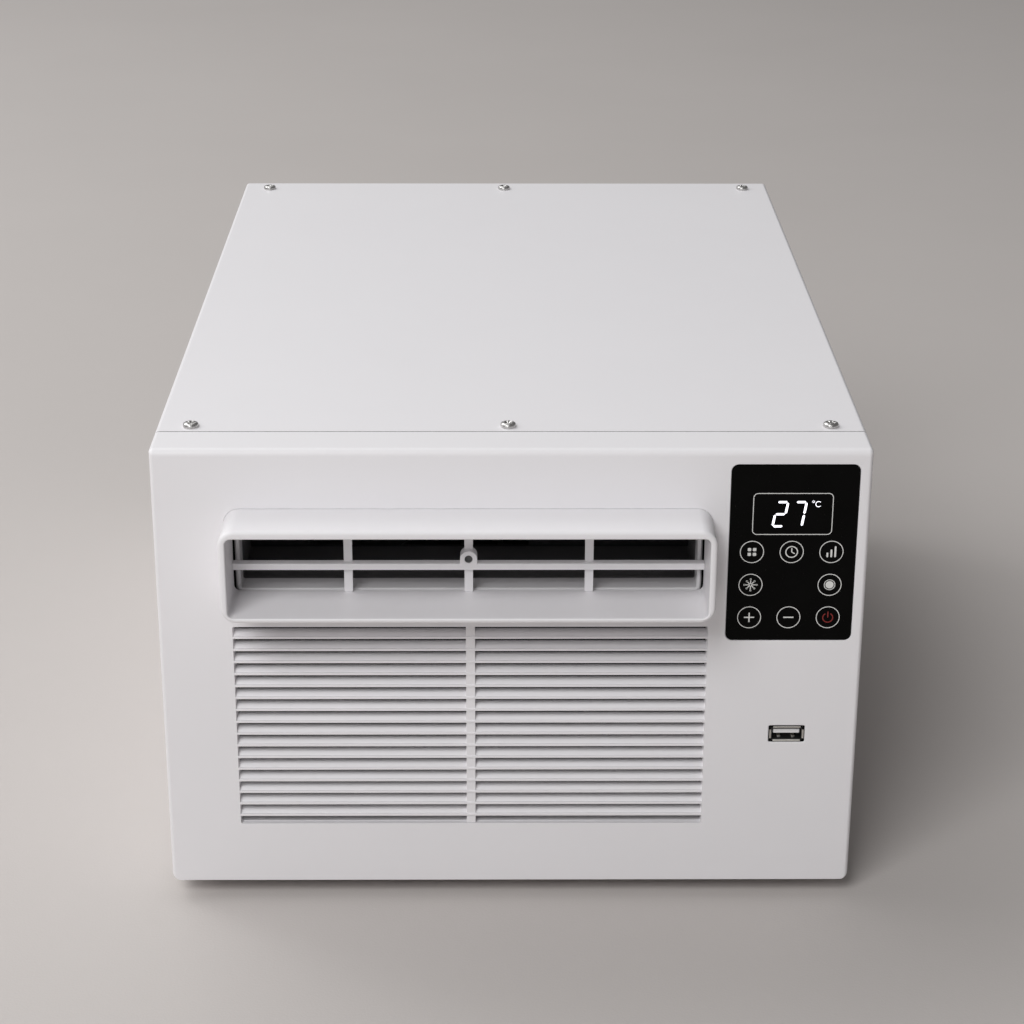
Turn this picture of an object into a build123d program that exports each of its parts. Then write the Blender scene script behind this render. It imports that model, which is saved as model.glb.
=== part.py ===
"""A small window air conditioner, modelled in millimetres as an assembly of separate pieces.

The frame: +Z is up from the surface that the feet stand on, the front faces -Y and the control
panel is on the +X side. The origin is on that surface, under the middle of the whole object.
"Depth" is measured back from the face of the front panel.
"""

import os
from math import cos, radians, sin

from build123d import *

# Casing
WIDTH = 290.0
HEIGHT = 205.0
DEPTH = 419.0
FOOT_HEIGHT = 6.0
CORNER_ROUND = 3.6
SHEET = 1.0
SHEET_PLAY = 0.3
SEAM = 0.5
FLANGE = 25.0
BEND_CHAMFER = 0.8
REAR_FLANGE = 18.0

# Front panel
PANEL_DEPTH = 21.0
PANEL_WALL = 2.4
EDGE_ROUND = 2.0
LIP_REACH = 17.0
LIP_ROOT = 4.0
LIP_WALL = 2.2
LIP_BOSS_RADIUS = 3.6
LIP_BOSS_DROP = 7.0
INSERT_PLAY = 0.2

# Outlet hood, its grid and the duct behind it
HOOD_LEFT = 28.8
HOOD_RIGHT = 63.5
HOOD_DROP = 45.3
HOOD_HEIGHT = 39.8
HOOD_OUT = 24.0
HOOD_WALL = 2.8
HOOD_INNER_DROP = 0.6
HOOD_CORNER = 6.5
HOOD_INNER_CORNER = 2.4
HOOD_FLANGE = 4.0
HOOD_FLANGE_WALL = 2.0
RIM_CHAMFER = 0.8
GRID_STAND = 0.5
GRID_PITCH = 49.1
GRID_BARS = 3
BAR_WIDTH = 3.5
BAR_DEPTH = 2.0
RAIL_DROP = 5.3
RAIL_HEIGHT = 2.9
RAIL_DEPTH = 4.1
GRID_PIN_RADIUS = 1.0
GRID_PIN_LENGTH = 1.6
PIN_PLAY = 0.05
GRID_BOSS_RADIUS = 3.5
GRID_BOSS_RISE = 1.9
GRID_BOSS_DEPTH = 5.4
GRID_BOSS_FLOOR = 3.0
GRID_BOSS_HOLE = 1.6
DUCT_GAP = 1.6
DUCT_INSET = 0.65
DUCT_WALL = 1.9
DUCT_CORNER = 4.0

# Intake grille and air filter
GRILLE_LEFT = 30.5
GRILLE_RIGHT = 64.0
GRILLE_DROP = 77.0
GRILLE_LOW = 35.3
GRILLE_LAP = 5.0
GRILLE_FRAME_DEPTH = 6.0
BLADES = 16
BLADE_DROP = 6.2
BLADE_FOOT = 3.55
BLADE_SETBACK = 0.2
BLADE_EDGE = 1.1
BLADE_DEPTH = 6.0
BLADE_SLOPE = 45.0
MULLION_WIDTH = 3.7
FILTER_DEPTH = 4.0
FILTER_BORDER = 6.0
FILTER_RIB = 1.6
FILTER_COLUMNS = 4
FILTER_ROWS = 2
MESH_SHEET = 0.5

# Touch panel, display and its board
TOUCH_SIDE = 30.9
TOUCH_DROP = 45.1
TOUCH_WIDTH = 51.6
TOUCH_HEIGHT = 77.4
TOUCH_CORNER = 2.8
TOUCH_SHEET = 1.2
TOUCH_LEDGE = 4.0
KEY_SHIFT = 0.3
KEY_DROP = 13.75
KEY_PITCH_X = 16.15
KEY_PITCH_Z = 14.6
PAD_RADIUS = 3.6
PAD_SIDES = 4
DISPLAY_RISE = 17.5
DISPLAY_WIDTH = 31.0
DISPLAY_HEIGHT = 16.8
BOARD_STAND = 6.0
BOARD_SHEET = 1.6
POST_WIDTH = 3.4

# USB socket
USB_SIDE = 29.5
USB_Z = 77.75
USB_WIDTH = 13.1
USB_HEIGHT = 5.7
USB_SHEET = 0.35
USB_LENGTH = 14.0
USB_LIP = 0.9
USB_LIP_GAP = 1.6
USB_BACK = 5.0
USB_TONGUE_WIDTH = 11.1
USB_TONGUE_HEIGHT = 1.84
USB_TONGUE_GAP = 0.9
USB_TONGUE_SETBACK = 2.0
USB_BOARD_WIDTH = 19.0
USB_BOARD_LENGTH = 24.0
USB_SHELF = 2.0

# Screws of the casing
SCREW_HEAD_RADIUS = 3.2
SCREW_HEAD_HEIGHT = 2.0
SCREW_SIDES = 6
SCREW_SHANK_RADIUS = 1.4
SCREW_LENGTH = 7.0
SCREW_PLAY = 0.1
TOP_SCREW_INSET = 14.1
MIDDLE_SCREW_X = -1.2
FRONT_SCREW_DEPTH = 27.2
REAR_SCREW_INSET = 12.0
LOW_SCREW_RISE = 13.0
LOW_SCREW_INSET = 40.0

# Feet, drain spout and cord gland
FOOT_RADIUS = 12.0
ROUND_SIDES = 12
FOOT_TAPER = 12.0
FOOT_SIDE = 30.0
FOOT_INSET = 45.0
FOOT_STEM_RADIUS = 3.8
FOOT_STEM_PLAY = 0.2
SPOUT_SIDE = 60.0
SPOUT_RISE = 10.0
SPOUT_RADIUS = 5.0
SPOUT_NECK = 5.6
SPOUT_BORE = 3.2
SPOUT_OUT = 13.0
SPOUT_FLANGE = 2.5
SPOUT_FLANGE_SHEET = 2.0
GLAND_SIDE = 27.0
GLAND_Z = 62.0
GLAND_RADIUS = 6.5
GLAND_BORE = 3.75
GLAND_FLANGE = 2.5
GLAND_FLANGE_SHEET = 2.5
GLAND_LENGTH = 12.0

# Air openings of the sheet casing
SLOT_HEIGHT = 4.0
REAR_SLOT_WIDTH = 60.0
REAR_SLOT_PITCH_X = 68.0
REAR_SLOT_PITCH_Z = 16.0
REAR_SLOT_COLUMNS = 3
REAR_SLOT_ROWS = 8
REAR_SLOT_X = -10.0
REAR_SLOT_Z = 110.0
SIDE_SLOT_LENGTH = 70.0
SIDE_SLOT_DEPTH = 290.0
SIDE_SLOT_Z = 115.0
SIDE_SLOT_PITCH = 11.0
SIDE_SLOT_ROWS = 8

# Cold side: evaporator, drain tray, orifice plate, scroll and bulkhead
COIL_DEPTH = 22.0
COIL_TUBE_RADIUS = 4.0
TUBE_SIDES = 8
COIL_END_STUB = 8.0
TUBE_PLAY = 0.1
FIN_SHEET = 0.5
FIN_MARGIN = 12.5
EVAPORATOR_X = -20.0
EVAPORATOR_MARGIN = 60.0
EVAPORATOR_LOW = 36.0
EVAPORATOR_DROP = 88.0
EVAPORATOR_RUNS = 4
EVAPORATOR_FINS = 28
EVAPORATOR_GAP = 10.5
TRAY_HEIGHT = 14.0
TRAY_WALL = 1.5
ORIFICE_GAP = 5.0
ORIFICE_SHEET = 2.0
ORIFICE_INSET = 8.0
ORIFICE_LIP = 4.0
AIR_BOX_DROP = 9.0
SCROLL_DEPTH = 50.0
SCROLL_BACK_WALL = 8.0
SCROLL_PLAY = 6.0
SCROLL_GROWTH = 12.0
SCROLL_FLOOR = 7.0
TONGUE_ANGLE = 60.0
TONGUE_X = 22.0
BULKHEAD_PLAY = 1.2
BULKHEAD_FOOT = 12.0
BULKHEAD_HOLE = 16.0
BULKHEAD_TOP_GAP = 2.0

# Rotor: shaft, blower wheel and condenser fan
SHAFT_X = -17.0
SHAFT_RADIUS = 4.0
SHAFT_PLAY = 0.05
SHAFT_TIP = 3.0
BLOWER_ROOM = 101.0
BLOWER_RING = 7.0
BLOWER_LENGTH = 32.0
BLOWER_SHEET = 2.0
BLOWER_GAP = 3.0
BLOWER_BLADES = 20
WHEEL_SIDES = 24
BLOWER_BLADE_SHEET = 1.0
BLOWER_BLADE_LAP = 0.8
BLOWER_BLADE_SWEEP = 4.5
BLOWER_BLADE_BOW = 1.2
HUB_RADIUS = 11.0
HUB_LENGTH = 20.0
FAN_RISE = 5.0
FAN_RING_SHEET = 2.5
FAN_RING_LENGTH = 12.0
FAN_HUB_RADIUS = 19.0
FAN_HUB_LENGTH = 24.0
FAN_BLADES = 5
FAN_BLADE_SHEET = 1.8
FAN_CHORD_ROOT = 22.0
FAN_CHORD_TIP = 34.0
FAN_PITCH = 36.0
FAN_SINK = 0.5

# Fan motor and its bracket
MOTOR_GAP = 42.0
MOTOR_RADIUS = 40.0
MOTOR_LENGTH = 60.0
BEARING_RADIUS = 8.0
BEARING_LENGTH = 9.0
BEARING_BOSS = 12.0
SEAT_PLAY = 0.02
BRACKET_SHEET = 2.0
BRACKET_FOOT = 26.0
BRACKET_MARGIN = 4.0
BRACKET_CORNER = 22.0
MOTOR_BOLT_CIRCLE = 28.0
MOTOR_BOLT_RADIUS = 2.0
MOTOR_BOLT_LENGTH = 9.0
BOLT_HEAD_RADIUS = 3.6
BOLT_SIDES = 6
BOLT_HEAD_HEIGHT = 3.0

# Hot side: shroud and condenser
CONDENSER_GAP = 22.0
CONDENSER_X = -8.0
CONDENSER_MARGIN = 42.0
CONDENSER_LOW = 30.0
CONDENSER_DROP = 40.0
CONDENSER_RUNS = 6
CONDENSER_FINS = 32
SHROUD_SHEET = 2.0
SHROUD_GAP = 4.0
SHROUD_PLAY = 4.0
SHROUD_LENGTH = 34.0
SHROUD_X = -13.0
SHROUD_MARGIN = 21.0
SHROUD_DROP = 8.0

# Compressor and accumulator
COMPRESSOR_SIDE = 61.0
COMPRESSOR_DEPTH = 215.0
COMPRESSOR_RADIUS = 42.0
COMPRESSOR_DROP = 47.5
COMPRESSOR_SHOULDER = 14.0
SHOULDER_TAPER = 45.0
COMPRESSOR_PLATE = 2.5
COMPRESSOR_BOLT_CIRCLE = 54.0
COMPRESSOR_LOBE = 9.5
PORT_LENGTH = 8.0
CAP_RADIUS = 10.0
CAP_HEIGHT = 9.0
CAP_OFFSET = 17.0
GROMMET_RADIUS = 9.0
GROMMET_NECK = 5.5
GROMMET_LOW = 12.0
GROMMET_HIGH = 4.0
GROMMET_PLAY = 0.2
STUD_RADIUS = 3.0
STUD_TIP = 3.0
NUT_WIDTH = 10.0
NUT_HEIGHT = 5.0
ACCUMULATOR_SIDE = 41.0
ACCUMULATOR_DEPTH = 135.0
ACCUMULATOR_RADIUS = 18.0
ACCUMULATOR_LOW = 46.0
ACCUMULATOR_NECK = 17.0

# Pipes
PIPE_RADIUS = 4.0
PIPE_BEND = 8.0
CAPILLARY_RADIUS = 1.5
PIPE_HOLE_PLAY = 2.0
DISCHARGE_RISE = 18.0
DISCHARGE_SIDE = 19.0
SUCTION_LOW = 32.0
DRIER_SIDE = 14.0
DRIER_Z = 48.0
DRIER_RADIUS = 8.5
DRIER_LENGTH = 58.0
DRIER_AHEAD = 34.0
CAPILLARY_SIDE = 9.0
CAPILLARY_Z = 64.0
CAPILLARY_JOG = 18.0
CAPILLARY_TURN = 34.0

# Control box
BOX_GAP = 4.0
BOX_SIDE = 5.35
BOX_WIDTH = 43.0
BOX_DEPTH = 50.0
BOX_DROP = 77.0
BOX_HEIGHT = 66.0
BOX_WALL = 1.8
MAIN_BOARD_STAND = 4.0
MAIN_BOARD_MARGIN = 2.5
STANDOFF_WIDTH = 4.4
RELAY_SIZE = (9.0, 15.0, 15.0)
RELAY_PITCH = 11.5
TRANSFORMER_SIZE = (22.0, 22.0, 24.0)
CAPACITOR_RADIUS = 6.0
CAPACITOR_LENGTH = 28.0
PART_MARGIN = 2.0

# Places worked out from the sizes above
HALF = WIDTH / 2
FRONT_Y = (HOOD_OUT - DEPTH - SPOUT_OUT) / 2
CASE_HEIGHT = HEIGHT - FOOT_HEIGHT
CASE_MID = (HEIGHT + FOOT_HEIGHT) / 2
LAP = SHEET + SHEET_PLAY
FLOOR_TOP = FOOT_HEIGHT + SHEET
WRAP_FRONT = PANEL_DEPTH + SEAM
PAN_FRONT = WRAP_FRONT
PAN_BACK = DEPTH - LAP
PAN_HALF = HALF - LAP
HOOD_X = (HOOD_LEFT - HOOD_RIGHT) / 2
HOOD_Z = HEIGHT - HOOD_DROP
HOOD_WIDTH = WIDTH - HOOD_LEFT - HOOD_RIGHT
HOOD_INNER_Z = HOOD_Z - HOOD_INNER_DROP
HOOD_INNER_WIDTH = HOOD_WIDTH - 2 * HOOD_WALL
HOOD_INNER_HEIGHT = HOOD_HEIGHT - 2 * HOOD_WALL
HOOD_BACK = PANEL_WALL + HOOD_FLANGE_WALL
RAIL_Z = HOOD_Z - RAIL_DROP
DUCT_WIDTH = HOOD_INNER_WIDTH - 2 * DUCT_INSET
DUCT_HEIGHT = HOOD_INNER_HEIGHT + 2 * DUCT_WALL
GRILLE_X = (GRILLE_LEFT - GRILLE_RIGHT) / 2
GRILLE_WIDTH = WIDTH - GRILLE_LEFT - GRILLE_RIGHT
GRILLE_HEIGHT = HEIGHT - GRILLE_DROP - GRILLE_LOW
GRILLE_Z = GRILLE_LOW + GRILLE_HEIGHT / 2
BLADE_PITCH = (GRILLE_HEIGHT - BLADE_DROP - BLADE_FOOT) / (BLADES - 1)
TOUCH_X = HALF - TOUCH_SIDE
TOUCH_Z = HEIGHT - TOUCH_DROP
KEY_X = TOUCH_X - KEY_SHIFT
KEY_Z = TOUCH_Z - KEY_DROP
DISPLAY_Z = TOUCH_Z + DISPLAY_RISE
BOARD_FRONT = PANEL_WALL + BOARD_STAND
USB_X = HALF - USB_SIDE
USB_BOARD_TOP = USB_Z - USB_HEIGHT / 2
FOOT_X = HALF - FOOT_SIDE
SPOUT_X = SPOUT_SIDE - HALF
SPOUT_Z = FOOT_HEIGHT + SPOUT_RISE
GLAND_X = HALF - GLAND_SIDE
SCREW_HOLE_RADIUS = SCREW_SHANK_RADIUS + SCREW_PLAY
GRILLE_BACK = PANEL_WALL + GRILLE_FRAME_DEPTH
EVAPORATOR_FRONT = GRILLE_BACK + FILTER_DEPTH + EVAPORATOR_GAP
ORIFICE_FRONT = EVAPORATOR_FRONT + COIL_DEPTH + ORIFICE_GAP
SCROLL_FRONT = ORIFICE_FRONT + ORIFICE_SHEET
BULKHEAD_FRONT = SCROLL_FRONT + SCROLL_DEPTH
BULKHEAD_BACK = BULKHEAD_FRONT + SHEET
MOTOR_FRONT = BULKHEAD_BACK + MOTOR_GAP
MOTOR_BACK = MOTOR_FRONT + MOTOR_LENGTH
CONDENSER_BACK = DEPTH - SHEET - CONDENSER_GAP
CONDENSER_FRONT = CONDENSER_BACK - COIL_DEPTH
SHROUD_BACK = CONDENSER_FRONT - SHROUD_GAP
SHROUD_FRONT = SHROUD_BACK - SHROUD_SHEET
SHROUD_WIDTH = WIDTH - 2 * SHROUD_MARGIN
SHROUD_HEIGHT = HEIGHT - SHROUD_DROP - FLOOR_TOP
BOX_LOW = HEIGHT - BOX_DROP
BOX_LEFT = HALF - BOX_SIDE - BOX_WIDTH
AIR_BOX_WIDTH = 2 * (BOX_LEFT - BOX_GAP - HOOD_X)
AIR_BOX_TOP = HEIGHT - AIR_BOX_DROP
BLOWER_RADIUS = (HEIGHT - BLOWER_ROOM) / 2
ORIFICE_RADIUS = BLOWER_RADIUS - ORIFICE_INSET
SHAFT_Z = FLOOR_TOP + SCROLL_FLOOR + SCROLL_GROWTH + SCROLL_PLAY + BLOWER_RADIUS
FAN_RADIUS = SHAFT_Z - FLOOR_TOP - FAN_RISE - SHROUD_PLAY - SHROUD_SHEET
FAN_MIDDLE = SHROUD_BACK - SHROUD_LENGTH / 2
BLOWER_FRONT = SCROLL_FRONT + ORIFICE_LIP + BLOWER_GAP
BLOWER_BACK = BLOWER_FRONT + BLOWER_LENGTH
SHAFT_FRONT = BLOWER_BACK - HUB_LENGTH - SHAFT_TIP
SHAFT_BACK = FAN_MIDDLE + FAN_HUB_LENGTH / 2 + SHAFT_TIP
EVAPORATOR_WIDTH = WIDTH - 2 * EVAPORATOR_MARGIN
EVAPORATOR_MIDDLE = EVAPORATOR_FRONT + COIL_DEPTH / 2
EVAPORATOR_PORT = EVAPORATOR_X + EVAPORATOR_WIDTH / 2 + SHEET + COIL_END_STUB
EVAPORATOR_TOP = HEIGHT - EVAPORATOR_DROP
CONDENSER_WIDTH = WIDTH - 2 * CONDENSER_MARGIN
CONDENSER_MIDDLE = CONDENSER_FRONT + COIL_DEPTH / 2
CONDENSER_PORT = CONDENSER_X + CONDENSER_WIDTH / 2 + SHEET + COIL_END_STUB
CONDENSER_TOP = HEIGHT - CONDENSER_DROP
COMPRESSOR_X = HALF - COMPRESSOR_SIDE
PLATE_LOW = FLOOR_TOP + GROMMET_LOW
SHELL_LOW = PLATE_LOW + COMPRESSOR_PLATE
SHELL_TOP = HEIGHT - COMPRESSOR_DROP
COMPRESSOR_HEIGHT = SHELL_TOP - SHELL_LOW
ACCUMULATOR_X = HALF - ACCUMULATOR_SIDE
ACCUMULATOR_TOP = EVAPORATOR_TOP - ACCUMULATOR_NECK
DISCHARGE_X = HALF - DISCHARGE_SIDE
DRIER_X = HALF - DRIER_SIDE
CAPILLARY_X = HALF - CAPILLARY_SIDE

top_screw_xs = (TOP_SCREW_INSET - HALF, MIDDLE_SCREW_X, HALF - TOP_SCREW_INSET)
top_screw_depths = (FRONT_SCREW_DEPTH, DEPTH - REAR_SCREW_INSET)
low_screw_z = FOOT_HEIGHT + LOW_SCREW_RISE
side_screw_depths = (PAN_FRONT + LOW_SCREW_INSET, PAN_BACK - LOW_SCREW_INSET)
rear_screw_spots = [(side * (HALF - LOW_SCREW_INSET), low_screw_z) for side in (-1, 1)]
foot_depths = (FOOT_INSET, DEPTH - FOOT_INSET)
key_spots = [
    (KEY_X + column * KEY_PITCH_X, KEY_Z + row * KEY_PITCH_Z)
    for row in (-1, 0, 1)
    for column in (-1, 0, 1)
    if (row, column) != (0, 0)
]
post_spots = [
    (TOUCH_X + i * (TOUCH_WIDTH - TOUCH_LEDGE) / 2, TOUCH_Z + j * (TOUCH_HEIGHT - TOUCH_LEDGE) / 2)
    for i in (-1, 1)
    for j in (-1, 1)
]
stud_spots = [
    (
        COMPRESSOR_X + COMPRESSOR_BOLT_CIRCLE * cos(radians(angle)),
        COMPRESSOR_DEPTH + COMPRESSOR_BOLT_CIRCLE * sin(radians(angle)),
    )
    for angle in (90, 210, 330)
]
motor_bolt_spots = [
    (SHAFT_X + i * MOTOR_BOLT_CIRCLE * cos(radians(45)), SHAFT_Z + j * MOTOR_BOLT_CIRCLE * sin(radians(45)))
    for i in (-1, 1)
    for j in (-1, 1)
]


def depth_plane(depth):
    """The upright plane at a depth; its own x and y are X and Z, and its normal points forwards."""
    return Plane.XZ.offset(-(FRONT_Y + depth))


def level_plane(height):
    """The level plane at a height; its own x and y are X and Y."""
    return Plane.XY.offset(height)


def side_plane(x):
    """The upright plane at an X; its own x and y are Y and Z, and its normal points to +X."""
    return Plane.YZ.offset(x)


def place(x, depth, z):
    """A point of the frame from an X, a depth and a height."""
    return (x, FRONT_Y + depth, z)


def arch(depth, middle, half, low, high, radius, length, mode=Mode.ADD):
    """A slab with square lower corners and rounded upper ones, from a depth backwards."""
    left = middle - half
    right = middle + half
    with BuildSketch(depth_plane(depth)) as profile:
        with BuildLine():
            FilletPolyline((left, low), (left, high), (right, high), (right, low), radius=radius)
            Line((right, low), (left, low))
        make_face()
    extrude(profile.sketch, amount=-length, mode=mode)


def rods(plane, spots, radius, length, mode=Mode.ADD):
    """Round bars from a plane along its normal."""
    with BuildSketch(plane) as profile:
        with Locations(*spots):
            Circle(radius)
    extrude(profile.sketch, amount=length, mode=mode)


def pegs(plane, spots, radius, length, sides, mode=Mode.ADD):
    """Many-sided bars from a plane along its normal; the radius is to the middle of a side."""
    with BuildSketch(plane) as profile:
        with Locations(*spots):
            RegularPolygon(radius, sides, major_radius=False)
    extrude(profile.sketch, amount=length, mode=mode)


def disc(depth, radius, length, mode=Mode.ADD):
    """A round slab about the shaft's axis, from a depth backwards."""
    rods(depth_plane(depth), [(SHAFT_X, SHAFT_Z)], radius, -length, mode)


def wheel(depth, radius, length, mode=Mode.ADD):
    """A many-sided slab about the shaft's axis, from a depth backwards."""
    pegs(depth_plane(depth), [(SHAFT_X, SHAFT_Z)], radius, -length, WHEEL_SIDES, mode)


def block(plane, centre, size, length, mode=Mode.ADD):
    """A square-edged block from a plane along its normal."""
    with BuildSketch(plane) as profile:
        with Locations(centre):
            Rectangle(*size)
    extrude(profile.sketch, amount=length, mode=mode)


def eased(route, bend):
    """The points of a route whose corners are each cut in three chords of a bend."""
    points = [Vector(*point) for point in route]
    path = [points[0]]
    for before, corner, after in zip(points, points[1:], points[2:]):
        ahead = (before - corner).normalized() * bend
        behind = (after - corner).normalized() * bend
        centre = corner + ahead + behind
        for share in (0, 1 / 3, 2 / 3, 1):
            spoke = behind * -cos(radians(90 * share)) + ahead * -sin(radians(90 * share))
            path.append(centre + spoke)
    path.append(points[-1])
    return path


def bent_tube(route, radius, bend=None, across=None):
    """A many-sided tube along straight runs, with its corners eased where a bend is given."""
    points = eased(route, bend) if bend else [Vector(*point) for point in route]
    along = (points[1] - points[0]).normalized()
    with BuildPart() as tube:
        with BuildLine():
            path = Polyline(*points)
        with BuildSketch(Plane(origin=points[0], x_dir=across, z_dir=along)):
            RegularPolygon(radius, TUBE_SIDES, major_radius=False)
        sweep(path=path, transition=Transition.RIGHT)
    return tube


# Front panel: a tray with openings, and a lip behind that goes under the casing wrap
with BuildPart() as front_panel:
    with BuildSketch(depth_plane(0)):
        with Locations((0, CASE_MID)):
            RectangleRounded(WIDTH, CASE_HEIGHT, CORNER_ROUND)
    extrude(amount=-PANEL_DEPTH)
    fillet(front_panel.faces().sort_by(Axis.Y)[0].edges(), EDGE_ROUND)
    with BuildSketch(depth_plane(PANEL_WALL)):
        with Locations((0, CASE_MID)):
            Rectangle(WIDTH - 2 * PANEL_WALL, CASE_HEIGHT - 2 * PANEL_WALL)
    extrude(amount=-PANEL_DEPTH, mode=Mode.SUBTRACT)
    with BuildSketch(depth_plane(PANEL_DEPTH - LIP_ROOT)):
        with Locations((0, CASE_MID)):
            RectangleRounded(WIDTH - 2 * LAP, CASE_HEIGHT - 2 * LAP, CORNER_ROUND - LAP)
            Rectangle(WIDTH - 2 * (LAP + LIP_WALL), CASE_HEIGHT - 2 * (LAP + LIP_WALL), mode=Mode.SUBTRACT)
        with Locations((0, FOOT_HEIGHT)):
            Rectangle(WIDTH, 2 * (FLANGE + LAP), mode=Mode.SUBTRACT)
    extrude(amount=-(LIP_ROOT + LIP_REACH))
    lip_spots = [(x, FRONT_Y + FRONT_SCREW_DEPTH) for x in top_screw_xs]
    lip_top = level_plane(HEIGHT - LAP)
    pegs(lip_top, lip_spots, LIP_BOSS_RADIUS, -LIP_BOSS_DROP, SCREW_SIDES)
    pegs(lip_top, lip_spots, SCREW_HOLE_RADIUS, -LIP_BOSS_DROP, SCREW_SIDES, Mode.SUBTRACT)
    with BuildSketch(depth_plane(0)):
        with Locations((HOOD_X, HOOD_Z)):
            RectangleRounded(
                HOOD_WIDTH + 2 * INSERT_PLAY, HOOD_HEIGHT + 2 * INSERT_PLAY, HOOD_CORNER + INSERT_PLAY
            )
        with Locations((GRILLE_X, GRILLE_Z)):
            Rectangle(GRILLE_WIDTH, GRILLE_HEIGHT)
        with Locations((TOUCH_X, TOUCH_Z)):
            Rectangle(TOUCH_WIDTH - 2 * TOUCH_LEDGE, TOUCH_HEIGHT - 2 * TOUCH_LEDGE)
        with Locations((USB_X, USB_Z)):
            RectangleRounded(
                USB_WIDTH + 2 * (USB_LIP + INSERT_PLAY), USB_HEIGHT + 2 * (USB_LIP + INSERT_PLAY), USB_LIP
            )
    extrude(amount=-PANEL_WALL, mode=Mode.SUBTRACT)
    with BuildSketch(depth_plane(0)):
        with Locations((TOUCH_X, TOUCH_Z)):
            RectangleRounded(
                TOUCH_WIDTH + 2 * INSERT_PLAY, TOUCH_HEIGHT + 2 * INSERT_PLAY, TOUCH_CORNER + INSERT_PLAY
            )
    extrude(amount=-TOUCH_SHEET, mode=Mode.SUBTRACT)
    with BuildSketch(depth_plane(TOUCH_SHEET)):
        with Locations(*post_spots):
            Rectangle(POST_WIDTH, POST_WIDTH)
    extrude(amount=TOUCH_SHEET - BOARD_FRONT)
    shelf_z = USB_BOARD_TOP - BOARD_SHEET - USB_SHELF / 2
    block(depth_plane(PANEL_WALL), (USB_X, shelf_z), (USB_BOARD_WIDTH, USB_SHELF), -USB_BOARD_LENGTH)

# Outlet hood: a deep rectangular rim, held by a flange behind the panel
with BuildPart() as outlet_hood:
    with BuildSketch(depth_plane(-HOOD_OUT)):
        with Locations((HOOD_X, HOOD_Z)):
            RectangleRounded(HOOD_WIDTH, HOOD_HEIGHT, HOOD_CORNER)
    extrude(amount=-(HOOD_OUT + PANEL_WALL))
    with BuildSketch(depth_plane(PANEL_WALL)):
        with Locations((HOOD_X, HOOD_Z)):
            Rectangle(HOOD_WIDTH + 2 * HOOD_FLANGE, HOOD_HEIGHT + 2 * HOOD_FLANGE)
    extrude(amount=-HOOD_FLANGE_WALL)
    with BuildSketch(depth_plane(-HOOD_OUT)):
        with Locations((HOOD_X, HOOD_INNER_Z)):
            RectangleRounded(HOOD_INNER_WIDTH, HOOD_INNER_HEIGHT, HOOD_INNER_CORNER)
    extrude(amount=-(HOOD_OUT + HOOD_BACK), mode=Mode.SUBTRACT)
    chamfer(outlet_hood.faces().sort_by(Axis.Y)[0].edges(), RIM_CHAMFER)
    rail_middle = (FRONT_Y - GRID_STAND + RAIL_DEPTH / 2, RAIL_Z)
    for side in (-1, 1):
        pegs(
            side_plane(HOOD_X + side * HOOD_INNER_WIDTH / 2),
            [rail_middle],
            GRID_PIN_RADIUS + PIN_PLAY,
            side * (GRID_PIN_LENGTH + PIN_PLAY),
            SCREW_SIDES,
            Mode.SUBTRACT,
        )

# Outlet grid: three upright bars behind one rail, with a screw boss at the middle bar
with BuildPart() as outlet_grid:
    bar_spots = [(HOOD_X + (i - (GRID_BARS - 1) / 2) * GRID_PITCH, HOOD_INNER_Z) for i in range(GRID_BARS)]
    with BuildSketch(depth_plane(HOOD_BACK)):
        with Locations(*bar_spots):
            Rectangle(BAR_WIDTH, HOOD_INNER_HEIGHT)
    extrude(amount=BAR_DEPTH)
    block(depth_plane(-GRID_STAND), (HOOD_X, RAIL_Z), (HOOD_INNER_WIDTH, RAIL_HEIGHT), -RAIL_DEPTH)
    for side in (-1, 1):
        pegs(
            side_plane(HOOD_X + side * HOOD_INNER_WIDTH / 2),
            [rail_middle],
            GRID_PIN_RADIUS,
            side * GRID_PIN_LENGTH,
            SCREW_SIDES,
        )
    boss_z = RAIL_Z + RAIL_HEIGHT / 2 + GRID_BOSS_RISE
    with BuildSketch(depth_plane(-GRID_STAND)):
        with Locations((HOOD_X, boss_z)):
            Circle(GRID_BOSS_RADIUS)
        with Locations((HOOD_X, boss_z)):
            Rectangle(2 * GRID_BOSS_RADIUS, boss_z - RAIL_Z, align=(Align.CENTER, Align.MAX))
    extrude(amount=-GRID_BOSS_DEPTH)
    boss_face = depth_plane(-GRID_STAND)
    rods(boss_face, [(HOOD_X, boss_z)], GRID_BOSS_HOLE, GRID_BOSS_FLOOR - GRID_BOSS_DEPTH, Mode.SUBTRACT)

# Inner outlet duct: a rounded rectangular sleeve from behind the hood to the orifice plate
with BuildPart() as outlet_duct:
    duct_front = HOOD_BACK + DUCT_GAP
    with BuildSketch(depth_plane(duct_front)):
        with Locations((HOOD_X, HOOD_INNER_Z)):
            RectangleRounded(DUCT_WIDTH, DUCT_HEIGHT, DUCT_CORNER + DUCT_WALL)
            RectangleRounded(
                DUCT_WIDTH - 2 * DUCT_WALL, DUCT_HEIGHT - 2 * DUCT_WALL, DUCT_CORNER, mode=Mode.SUBTRACT
            )
    extrude(amount=duct_front - ORIFICE_FRONT)

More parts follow.
